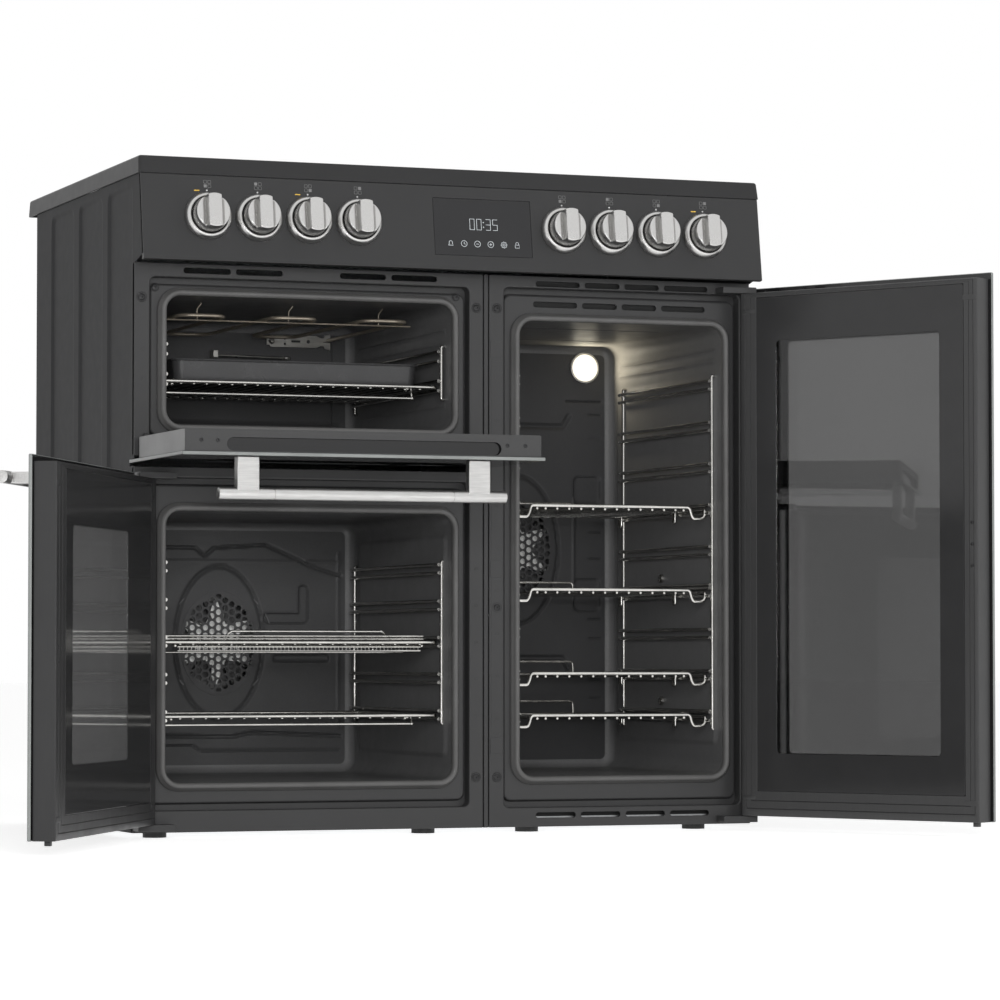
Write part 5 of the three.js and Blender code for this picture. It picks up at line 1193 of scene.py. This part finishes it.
def add_shelves():
    narrow = [side * offset for side in (-1, 1) for offset in (9, 27, 45, 63, 81, 98.5, 111)]
    for i, level in enumerate((0, 1, 3, 5), 1):
        bm = shelf(TALL, tall_level(level) + 5, True, narrow, (98.0, -72.0, 72.0, 19.0, 1.0))
        wires(f"tall_shelf_{i}", bm, f"tall_sliding_shelf_{i}")
    wide = [side * (9 + 18 * k) for side in (-1, 1) for k in range(10)]
    for i, level in enumerate((0, 2), 1):
        rail_z = main_level(level) + 5
        bm = shelf(MAIN, rail_z, False, wide, (-196.0, -92.0, 128.0, 15.0, 9.0) if level else None)
        if level == 0:
            lower_wire(bm, MAIN, rail_z, 11.5)
        wires(f"main_shelf_{i}", bm, f"main_sliding_shelf_{i}")
    bm = bmesh.new()
    x0, x1, low, high = -371.0, -30.0, rail_z - 12.4, rail_z - 3.6
    hook = [(-214, high), (-221, high - 1), (-222, low + 1), (-214, low), (86, low)]
    for x in [x0 + (x1 - x0) * k / 62 for k in range(63)]:
        wire(bm, [(x, y, z) for y, z in hook], 0.8, 2.0, 6)
    cross = [(-221.8, high - 1.5), (-222.4, low + 2.0)] + [(y, low) for y in (-150, -60, 30, 86)]
    for y, z in cross:
        wire(bm, [(x0 - 3, y, z - 1.2), (x1 + 3, y, z - 1.2)], 1.1, 0.0, 8)
    for x in (x0 - 6, x1 + 6):
        ball(bm, x, -220, high - 1, 3.0)
    for rise in (4.4, 8.4):
        wire(bm, [(-389, -212, rail_z + rise), (-19, -212, rail_z + rise)], 1.6, 0.0, 12)
    for x in (-386, -22):
        wire(bm, [(x, -212, rail_z + 4.4), (x, 60, rail_z + 4.4)], 1.6, 0.0, 8)
    piece("main_shelf_insert", bm, "chrome", "chrome_wire", None, "main_sliding_shelf_2")
    rail_z = GRILL.bottom + 56.4 + 5
    bm = shelf(GRILL, rail_z, False, wide)
    lower_wire(bm, GRILL, rail_z, 15.5)
    wires("grill_shelf", bm, "grill_sliding_shelf")


add_racks()
add_shelves()

# ---------------------------------------------------------------- body panels
SIDE_FIELDS = [(-260.0, -134.0), (-108.0, 18.0), (44.0, 170.0)]  # front and back of the pressed fields
FIELD_LOW, FIELD_HIGH = 40.0, 864.7


def add_side_panels():
    """Pressed side panels: three shallow fields whose front edges fade into the sheet."""
    for side, label in ((-1, "left"), (1, "right")):
        ends = [y for pair in SIDE_FIELDS for y in pair]
        y_lines = spread(PANEL_FRONT, BODY_BACK, 6.0, ends, 6.0, 1.5)
        relief = Relief(y_lines, spread(0.0, FASCIA_TOP, 9.0, (FIELD_LOW, FIELD_HIGH), 14.0, 2.0))
        for y0, y1 in SIDE_FIELDS:
            relief.field((y0, y1, FIELD_LOW, FIELD_HIGH), 14.0, 5.0, 3.0)
            fade = np.clip((relief.a - y0) / (y1 - y0), 0.0, 1.0)
            within = (relief.a >= y0) & (relief.a <= y1)
            relief.depth = np.where(within, relief.depth * (0.25 + 0.75 * fade), relief.depth)
        put = lambda y, z, depth: (side * (BODY - depth), lean(y, z), z)
        bm = relief.sheet(bmesh.new(), put, 0.0, SHEET, in_pocket if side < 0 else None)
        piece(f"{label}_side_sheet", bm, "enamel", "enamel", f"{label}_side_panel")


def lean(y, z):
    """The panel's front edge follows the fascia's slope above the frames."""
    if z <= FASCIA_FOOT or y > LEAN_FROM:
        return y
    reach = LEAN_FRONT - PANEL_FRONT + (z - FASCIA_FOOT) * LEAN_SLOPE
    return y + reach * (LEAN_FROM - y) / (LEAN_FROM - PANEL_FRONT)


def in_pocket(y, z):
    """Where the left panel is cut out for the grill door's glass."""
    return y < -243.0 and POCKET[0] < z < POCKET[1]


def add_hob():
    """The slab with rounded edges and the ceramic glass with its cooking zones."""
    foot, top = (-451.5, 451.5, -298.0, 295.5), (-450.0, 450.0, -294.0, 294.0)
    glass = grown(top, -14.0)
    rise = HOB_FOOT - HOB_TOP
    section = [
        (foot, -2.5, 2.0, rise), (foot, -0.6, 3.0, rise), (foot, 0.0, 3.6, rise + 0.8),
        (top, 0.3, 4.0, -3.0), (top, -0.5, 3.6, -1.2), (top, -1.8, 3.0, -0.3), (top, -4.0, 3.0, 0.0),
        (glass, 1.0, 4.0, 0.0), (glass, 0.0, 4.0, -0.8), (glass, 0.0, 4.0, -4.3),
        (glass, -16.0, 3.0, -4.3), (glass, -16.0, 3.0, -7.3), (foot, -3.0, 2.0, -7.3),
    ]
    rings = [(grown(rect, out), corner, HOB_TOP + depth) for rect, out, corner, depth in section]
    bm = shell(bmesh.new(), rings, "xy", closed=True)
    piece("hob_slab", bm, "hob_rim", "enamel", "hob_frame")
    outline = rounded(*grown(glass, -FIT), 4.0)
    bm = plate(bmesh.new(), outline, [], HOB_TOP - 4.0, HOB_TOP - 0.06, "xy", 0.7)
    piece("hob_ceramic", bm, "hob_glass", "black_glass", "hob_glass")
    bm = bmesh.new()
    side, near, far = 297.5, -133.0, 133.0
    small, medium, large = 72.0, 90.0, 105.0
    zones = [(-side, near, small), (-side, far, medium), (0.0, 0.0, large)]
    zones += [(side, near, medium), (side, far, small)]
    for x, y, radius in zones:
        centre = Matrix.Translation((x, y, HOB_TOP - 0.1))
        for reach in (radius, radius - 6.0):
            line = [(reach, 0.0), (reach - 0.9, 0.0), (reach - 0.9, 0.1), (reach, 0.1)]
            ring(bm, line, 96, centre)
        for k in range(12):
            tick = box(bmesh.new(), radius + 3.0, radius + 8.0, -0.5, 0.5, HOB_TOP - 0.1, HOB_TOP)
            tick.transform(placed(x, y, 0.0, pi * k / 6, "Z"))
            merge(bm, tick)
    piece("hob_zone_rings", bm, "marking", "black_glass")


def add_back_panel():
    """The back sheet with rows of vents, pressed ribs, the terminal cover and its cable gland."""
    slots, terminal_back = [], 278.0
    for row in range(5):
        z = FASCIA_FOOT - 16.0 * row
        slots += [(centre - 75.0, centre + 75.0, z, z + 5.0) for centre in (MAIN.x, TALL.x)]
    bm = bmesh.new()
    sheet_with_openings(bm, (-447.5, 447.5, 0.0, FASCIA_TOP), 2.0, [], slots, BODY_BACK, 1.4, back=-1)
    rib = ((6.0, 0.1), (5.0, -0.9), (3.0, -1.8), (0.0, -2.1))
    for x in (-300.0, -100.0, 100.0):
        strip = (x - 3.0, x + 3.0, 60.0, 640.0)
        rings = [(grown(strip, out - 6.0), 6.0, BODY_BACK - deep - 0.4) for out, deep in rib]
        shell(bm, rings, caps=True)
    box(bm, 260.0, 350.0, BODY_BACK - SHEET, terminal_back, 90.0, 160.0, 3.0, 3)
    gland = [(9.0, 0.0), (12.5, 0.0), (12.5, 4.0), (11.0, 6.5), (9.0, 6.5)]
    lathe(bm, gland, 32, Matrix.Translation((305.0, BODY_BACK + 12.0, 84.0)))
    piece("back_sheet", bm, "zinc", "bare_sheet", "back_panel")
    bm = bmesh.new()
    heads = [(x, z) for x in (-436.0, -150.0, 150.0, 436.0) for z in (16.0, 860.0)]
    heads += [(side * 436.0, z) for side in (-1, 1) for z in (300.0, 580.0)]
    on_cover = [(270.0, 125.0), (340.0, 125.0)]
    head = [(4.6, 0.0), (4.4, 1.4), (3.0, 2.3), (1.2, 2.4), (0.9, 1.2), (0.0, 1.2)]
    for x, z in heads + on_cover:
        y = terminal_back if (x, z) in on_cover else BODY_BACK
        lathe(bm, head, 24, placed(x, y - 0.2, z, -QUARTER))
    piece("back_screws", bm, "steel", "bare_sheet")


add_side_panels()
add_hob()
add_back_panel()

# ---------------------------------------------------------------- controls
TILT = atan2(FASCIA_TOP_Y - FASCIA_FOOT_Y, FASCIA_TOP - FASCIA_FOOT)
FASCIA_UP = Vector((0.0, sin(TILT), cos(TILT)))
FASCIA_OUT = Vector((0.0, -cos(TILT), sin(TILT)))
FASCIA_HIGH = hypot(FASCIA_TOP - FASCIA_FOOT, FASCIA_TOP_Y - FASCIA_FOOT_Y)
KNOB_X = [first + 70.7 * i for first in (-358.4, 151.5) for i in range(4)]
KNOB_RISE = 60.7
DISPLAY = (-37.6, 104.0, 20.4, 99.8)  # left, right, bottom and top, up the slope


def on_fascia(x=0.0, rise=0.0):
    """Placement on the fascia in metres: local X to the right, Y up the slope and Z out of it."""
    origin = Vector((x, FASCIA_FOOT_Y, FASCIA_FOOT)) + FASCIA_UP * rise
    axes = Matrix((Vector((1.0, 0.0, 0.0)), FASCIA_UP, FASCIA_OUT)).transposed().to_4x4()
    return Matrix.Translation(origin * MM) @ axes


def knob_mesh():
    """A round body with a raised grip bar, hollowed on both sides of the bar."""
    bm = bmesh.new()
    radius, edge, low, high, half_grip = 23.5, 2.6, 25.0, 38.0, 8.8
    sides, steps = 144, 34
    centre = bm.verts.new((0.0, 0.0, high))
    rings = []
    for k in range(1, steps + 1):
        r = radius * k / steps
        row = []
        for i in range(sides):
            angle = 2 * pi * i / sides
            x, y = r * cos(angle), r * sin(angle)
            across = abs(x)
            flute = low + 4.6 * smoothstep(half_grip + 1.0, half_grip + 6.5, across)
            top = flute + (high - flute) * (1 - smoothstep(half_grip, half_grip + 2.2, across))
            over = max(0.0, r - (radius - edge))
            drop = edge - sqrt(max(0.0, edge**2 - over**2))
            row.append(bm.verts.new((x, y, top - drop)))
        rings.append(row)
    for height, flare in ((22.0, 1.0), (9.0, 1.055), (1.5, 1.055)):
        rings.append([bm.verts.new((v.co.x * flare, v.co.y * flare, height)) for v in rings[steps - 1]])
    for i in range(sides):
        j = (i + 1) % sides
        bm.faces.new((centre, rings[0][i], rings[0][j]))
        for low_ring, high_ring in zip(rings, rings[1:]):
            bm.faces.new((low_ring[i], high_ring[i], high_ring[j], low_ring[j]))
    bm.faces.new(rings[-1][::-1])
    lathe(bm, [(3.0, -14.0), (3.0, 2.0)], 20)
    return bm


def stroke_icon(bm, points, half=0.35, closed=False):
    """A thin drawn line in the fascia's plane."""
    loop = points + points[:1] if closed else points
    wire(bm, [(x, y, 0.1) for x, y in loop], half, 0.0, 6)


def zone_icon(bm, kind, x, rise):
    """A tiny plan of the zones: two rows of outlined squares, the knob's own one filled."""
    for i in range(2):
        for j in range(2):
            u, v = x - 2.9 + 5.8 * i, rise - 2.9 + 5.8 * j
            shape = rounded(u - 2.1, u + 2.1, v - 2.1, v + 2.1, 0.5, 2)
            if i * 2 + j == kind:
                plate(bm, shape, [], 0.02, 0.25, "xy")
            else:
                stroke_icon(bm, shape, 0.26, True)


# The lit bars of each digit, each bar from one corner to the next on a grid of 1 by 2.
BARS = {"a": (0, 2, 1, 2), "b": (1, 1, 1, 2), "c": (1, 0, 1, 1), "d": (0, 0, 1, 0)}
BARS |= {"e": (0, 0, 0, 1), "f": (0, 1, 0, 2), "g": (0, 1, 1, 1)}
DIGITS = {"0": "abcdef", "3": "abcdg", "5": "acdfg"}


def digit(bm, shown, x, y, wide, high):
    for bar in DIGITS[shown]:
        a, b, c, d = BARS[bar]
        stroke_icon(bm, [(x + a * wide, y + b * high / 2), (x + c * wide, y + d * high / 2)], 0.36)


def add_display():
    x0, x1, low, high = DISPLAY
    bm = plate(bmesh.new(), rounded(x0, x1, low, high, 1.0, 3), [], -3.0, 0.0, "xy", 0.3)
    piece("display_window", bm, "display", "black_glass", "display_glass", place=on_fascia())
    bm = bmesh.new()
    for shown, x in (("0", 14.5), ("0", 24.6), ("3", 38.0), ("5", 48.0)):
        digit(bm, shown, x, 57.0, 6.6, 15.0)
    for y in (61.0, 67.6):
        plate(bm, circle(34.4, y, 0.8, 12), [], 0.0, 0.25, "xy")
    piece("display_digits", bm, "digit", "black_glass", place=on_fascia())
    bm = bmesh.new()
    y, places = 37.0, [-14.5 + 19.4 * i for i in range(6)]
    x = places[0]
    stroke_icon(bm, [(x - 3.6, y - 3), (x - 2.4, y - 1.4)] + arc_points((x, y + 1), 2.4, pi, 0.0, 8)
                + [(x + 2.4, y - 1.4), (x + 3.6, y - 3)], closed=True)
    for x in places[1:4]:
        stroke_icon(bm, circle(x, y, 4.2), closed=True)
    stroke_icon(bm, [(places[1], y + 2.4), (places[1], y), (places[1] + 1.8, y - 1)])
    for x in places[2:4]:
        stroke_icon(bm, [(x - 2, y), (x + 2, y)])
    stroke_icon(bm, [(places[3], y - 2), (places[3], y + 2)])
    x = places[4]
    teeth = [(4.4 if i % 4 < 2 else 3.4, pi * i / 16) for i in range(32)]
    wheel = [(x + reach * cos(angle), y + reach * sin(angle)) for reach, angle in teeth]
    stroke_icon(bm, wheel, closed=True)
    stroke_icon(bm, circle(x, y, 1.6, 16), closed=True)
    x = places[5]
    lock = [(x - 3, y - 3.6), (x + 3, y - 3.6), (x + 3, y + 0.6), (x - 3, y + 0.6)]
    stroke_icon(bm, lock, closed=True)
    stroke_icon(bm, [(x - 2, y + 0.6), (x - 2, y + 2.2)] + arc_points((x, y + 2.4), 2.0, pi, 0.0, 8)
                + [(x + 2, y + 0.6)])
    piece("display_icons", bm, "digit", "black_glass", place=on_fascia())


def add_fascia():
    """The sloping sheet with rounded long edges and returns, cut out for the display."""
    bm = bmesh.new()
    rect = (-BODY, BODY, 0.0, FASCIA_HIGH)
    holes = [rounded(*grown(DISPLAY, 0.5), 1.2, 3)] + [circle(x, KNOB_RISE, 4.0) for x in KNOB_X]
    plate(bm, rounded(*grown(rect, -1.0), 1.0), holes, 0.0, -1.5, "xy")
    turned_edge(bm, rect, 1.0, 0.0, 7.0, 1.0, -1, "xy", -1, 1.2)
    piece("fascia_sheet", bm, "fascia", "enamel", "fascia", place=on_fascia())


def add_controls():
    bezel = [(31.8, 0.0), (32.4, 0.6), (32.4, 2.4), (31.6, 6.0), (30.0, 9.2), (28.4, 10.7)]
    bezel += [(27.2, 11.0), (26.3, 10.6), (25.8, 9.4), (25.5, 0.0)]
    gap = [(25.5, 0.05), (4.2, 0.05), (4.2, 0.6), (25.5, 0.6)]
    for i, x in enumerate(KNOB_X, 1):
        seat, body = on_fascia(x, KNOB_RISE), f"control_{i}"
        piece(f"knob_{i}_turned", knob_mesh(), "knob", "satin_metal", f"knob_{i}", body, seat, 50.0)
        piece(f"knob_bezel_{i}", ring(bmesh.new(), bezel, 96), "knob", "satin_metal", place=seat)
        # A near-black ring under each knob is painted shade for the gap between the bezel and the knob.
        piece(f"knob_gap_shade_{i}", ring(bmesh.new(), gap, 64), "dark", "foot_plastic", place=seat)
    marks, dots, dashes = bmesh.new(), bmesh.new(), bmesh.new()
    for i, x in enumerate(KNOB_X):
        zone_icon(marks, i % 4, x + 1.0, KNOB_RISE + 44.5)
        plate(dots, circle(x, KNOB_RISE + 35.6, 1.2, 14), [], 0.02, 0.3, "xy")
        if i in (0, 2, 7):
            dash = rounded(x - 18.0, x - 10.2, KNOB_RISE + 34.4, KNOB_RISE + 35.8, 0.6, 3)
            plate(dashes, dash, [], 0.02, 0.3, "xy")
    piece("zone_marks", marks, "marking", "enamel", place=on_fascia())
    piece("zone_dots", dots, "dot", "enamel", place=on_fascia())
    piece("lamp_dashes", dashes, "amber", "enamel", place=on_fascia())


add_fascia()
add_display()
add_controls()


# ---------------------------------------------------------------- doors
def opened(joint_name, degrees):
    """Turns a shut door to the pose it rests in."""
    joint = next(j for j in frame["joints"] if j["name"] == joint_name)
    pivot = Matrix.Translation(joint["pos_m"])
    return pivot @ Matrix.Rotation(radians(degrees), 4, Vector(joint["axis"])) @ pivot.inverted()


# Each door's body, and the turn from shut to the pose it rests in.
HUNG = {
    "main": ("main_door", opened("main_door_swing", 120.0)),
    "tall": ("tall_door", opened("tall_door_swing", 120.0)),
    "grill": ("grill_door", opened("grill_door_drop", 90.0)),
}
PROFILE_FRONT = DOOR_FACE + DOOR_GLASS + FIT


def door_piece(door, name, bm, material, slot, node=None):
    """A piece of one door, turned to its rest pose; a node's name is given without the door's."""
    piece(f"{door}_{name}", bm, material, slot, node and f"{door}_door_{node}", *HUNG[door])


def handle(x, length, z):
    """A round bar with a turned line near each end, on two square posts."""
    bm = bmesh.new()
    y = DOOR_FACE - HANDLE_OUT
    half = [(0.0, 0.0), (6.6, 0.0), (7.5, 0.4), (8.0, 1.4)]
    half += [(8.0, 74.0), (7.5, 74.3), (7.5, 75.3), (8.0, 75.6)]
    profile = half + [(radius, length - along) for radius, along in reversed(half)]
    lathe(bm, profile, 64, placed(x - length / 2, y, z, axis="Y"))
    for side in (-1, 1):
        post = x + side * (length / 2 - POST_IN)
        box(bm, post - POST_HALF, post + POST_HALF, y, DOOR_FACE - FIT, z - 7, z + 7, 1.4, 3)
    return bm


def ring_profile(bm, rect, pane, grooves):
    """A door's inner frame: a drawn profile with fine grooves along its inner face."""
    lap, seat = grown(pane, -6.0), grown(pane, FIT)
    front, back = PROFILE_FRONT, DOOR_INNER
    rings = [(lap, front), (grown(rect, -1.2), front), (grown(rect, -0.3), front + 0.4)]
    rings += [(rect, front + 1.4), (rect, back - 1.4), (grown(rect, -0.4), back - 0.4)]
    rings.append((grown(rect, -1.4), back))
    for share in grooves:
        mid = lambda part: tuple(a + (b - a) * part for a, b in zip(rect, seat))
        rings += [(mid(share - 0.02), back), (mid(share), back - 0.9), (mid(share + 0.02), back)]
    rings += [(grown(seat, 0.5), back), (seat, back - 0.5), (seat, back - 4.3), (lap, back - 4.3)]
    return shell(bm, [(r, 0.6, depth) for r, depth in rings], closed=True, steps=2)


def door(name, rect, window, pane, handle_at):
    """One door, drawn shut: printed outer glass with a window, printed inner glass and handle."""
    far = DOOR_FACE + DOOR_GLASS
    hole = rounded(*window, 6.0)
    bm = plate(bmesh.new(), rounded(*grown(rect, -0.9), 1.6, 4), [hole], DOOR_FACE, far)
    door_piece(name, "outer_glass", bm, "black", "door_glass", "glass")
    bm = rim(bmesh.new(), rect, 2.0, [
        (-0.9, DOOR_FACE), (-0.3, DOOR_FACE + 0.25), (0.0, DOOR_FACE + 0.9), (0.0, far - 0.9),
        (-0.3, far - 0.25), (-0.9, far),
    ], steps=4)
    door_piece(name, "glass_edge", bm, "edge", "door_glass")
    buried = rounded(*grown(window, 2.0), 8.0)
    bm = plate(bmesh.new(), buried, [], DOOR_FACE + 0.3, far - 0.3)
    door_piece(name, "outer_window", bm, "dark_clear", "door_glass")
    bm = plate(bmesh.new(), rounded(*pane, 3.0, 4), [hole], DOOR_INNER - 4, DOOR_INNER, bevel=0.4)
    door_piece(name, "inner_border", bm, "print", "inner_glass", "inner_glass")
    bm = plate(bmesh.new(), buried, [], DOOR_INNER - 3.7, DOOR_INNER - 0.3)
    door_piece(name, "inner_window", bm, "screened" if name == "main" else "clear", "inner_glass")
    door_piece(name, "handle", handle(*handle_at), "satin", "satin_metal", "handle")


def side_door_frame(name, side, rect, pane):
    """A side-hung door's inner frame with its clips, end marks and lower tab."""
    bm = ring_profile(bmesh.new(), rect, pane, (0.3, 0.62))
    x0, x1, z0, z1 = rect
    hinge, free = (x0, x1) if side < 0 else (x1, x0)
    clips = [(free + side * 2, free + side * 23, 3.5), (hinge - side * 2, hinge - side * 24, 3.0)]
    for z in (z0 + 26.0, z1 - 26.0):
        for near, far, half in clips:
            box(bm, *sorted((near, far)), DOOR_INNER - 2.0, DOOR_INNER + 0.5, z - half, z + half, 0.8)
    tab = sorted((free + side * 7, free + side * 15))
    box(bm, *tab, DOOR_INNER - 16.0, DOOR_INNER - 8.0, z0 - 6.0, z0 + 2.0, 0.8)
    # The main door takes the darker copy of the profile colour as painted shade.
    profile_shade = "shaded_profile" if side < 0 else "profile"
    door_piece(name, "frame_profile", bm, profile_shade, "door_profile", "frame")
    bm = bmesh.new()
    mark = [(2.6, -0.2), (2.4, 0.8), (1.2, 1.2), (0.8, 0.5), (0.0, 0.5)]
    for share in (0.55, 0.51, 0.47):
        lathe(bm, mark, 20, placed(free + side * 9.0, DOOR_INNER, z0 + share * (z1 - z0), -QUARTER))
    door_piece(name, "frame_marks", bm, "screw", "door_profile")


def grill_door_frame(pane):
    """The grill door's inner frame with the long vent slot in its top edge."""
    left, right, low, high = -444.0, 45.2, 532.5, 747.2
    x0, x1 = -388.0, -10.8
    y0, y1 = PROFILE_FRONT, DOOR_INNER
    bm = ring_profile(bmesh.new(), (left, right, low, high - 7.0), pane, (0.5,))
    slot = slot_hole(x0, x1, y0 + 1.4, -283.5)
    plate(bm, rounded(left, right, y0, y1, 1.2, 3), [slot], high, high - 1.6, "xy", 0.4)
    for strip in ((left, left + 1.6, y0), (right - 1.6, right, y0), (left, right, y1 - 1.6)):
        box(bm, *strip, y1, high - 7.4, high - 1.0)
    for edge, inwards in ((GRILL.recess[0], 1), (GRILL.recess[1], -1)):
        a, b = sorted((edge + inwards * 4.0, edge + inwards * 11.0))
        bore = placed(a, DOOR_INNER, GRILL_HINGE, axis="Y")
        ring(bm, [(5.0, 0.0), (5.0, b - a), (3.7, b - a), (3.7, 0.0)], 32, bore)
        box(bm, a, b, DOOR_INNER - 10.0, DOOR_INNER - 4.4, GRILL_HINGE, low + 5.0, 0.4)
    door_piece("grill", "frame_profile", bm, "profile", "door_profile", "frame")
    bm = box(bmesh.new(), x0 - 4, x1 + 4, y0 + 0.4, -281.0, high - 6.6, high - 5.0)
    door_piece("grill", "frame_slot_floor", bm, "black", "door_profile")
    bm = bmesh.new()
    for x in (left, right):
        box(bm, x - 0.5, x + 0.5, y0 + 0.6, y1 - 0.6, low + 1.0, high - 1.0, 0.3)
    door_piece("grill", "frame_caps", bm, "cap", "door_profile")
    bm = bmesh.new()
    head = [(2.8, -0.2), (2.6, 0.8), (1.2, 1.1), (0.8, 0.4), (0.0, 0.4)]
    for x in (-400.0, -2.0, left + 22.0, right - 22.0):
        lathe(bm, head, 20, Matrix.Translation((x, (y0 + y1) / 2, high)))
    door_piece("grill", "frame_screws", bm, "screw", "door_profile")


# Each door's outer glass, window, inner glass and handle; the last is its middle, length and height.
DOORS = {
    "main": (
        (-BODY, SEAM_LEFT, DOOR_BOTTOM, MAIN_TOP), (-300, -31, 102, 395),
        (-422.0, 1.2, 42.0, 463.0), (-199.4, 395.0, MAIN_TOP - 25.0),
    ),
    "tall": (
        (SEAM_RIGHT, BODY, DOOR_BOTTOM, DOOR_TOP), (119.5, 389, 99.6, 674.7),
        (80.8, 422.0, 47.5, 736.0), (251.4, 291.0, DOOR_TOP - 25.0),
    ),
    "grill": (
        (-BODY, SEAM_LEFT, GRILL_BOTTOM, DOOR_TOP), (-370, -29, 575, 705),
        (-417, 18.2, 541.5, 738.2), (-199.4, 396.0, DOOR_TOP - 14.0),
    ),
}
SIDE_FRAMES = {"main": (-1, (-449.0, 44.6, 12.0, 470.0)), "tall": (1, (58.8, 449.0, 12.0, 743.5))}


def add_doors():
    for name, (glass, window, pane, handle_at) in DOORS.items():
        door(name, glass, window, pane, handle_at)
        if name in SIDE_FRAMES:
            side_door_frame(name, *SIDE_FRAMES[name], pane)
        else:
            grill_door_frame(pane)


add_doors()
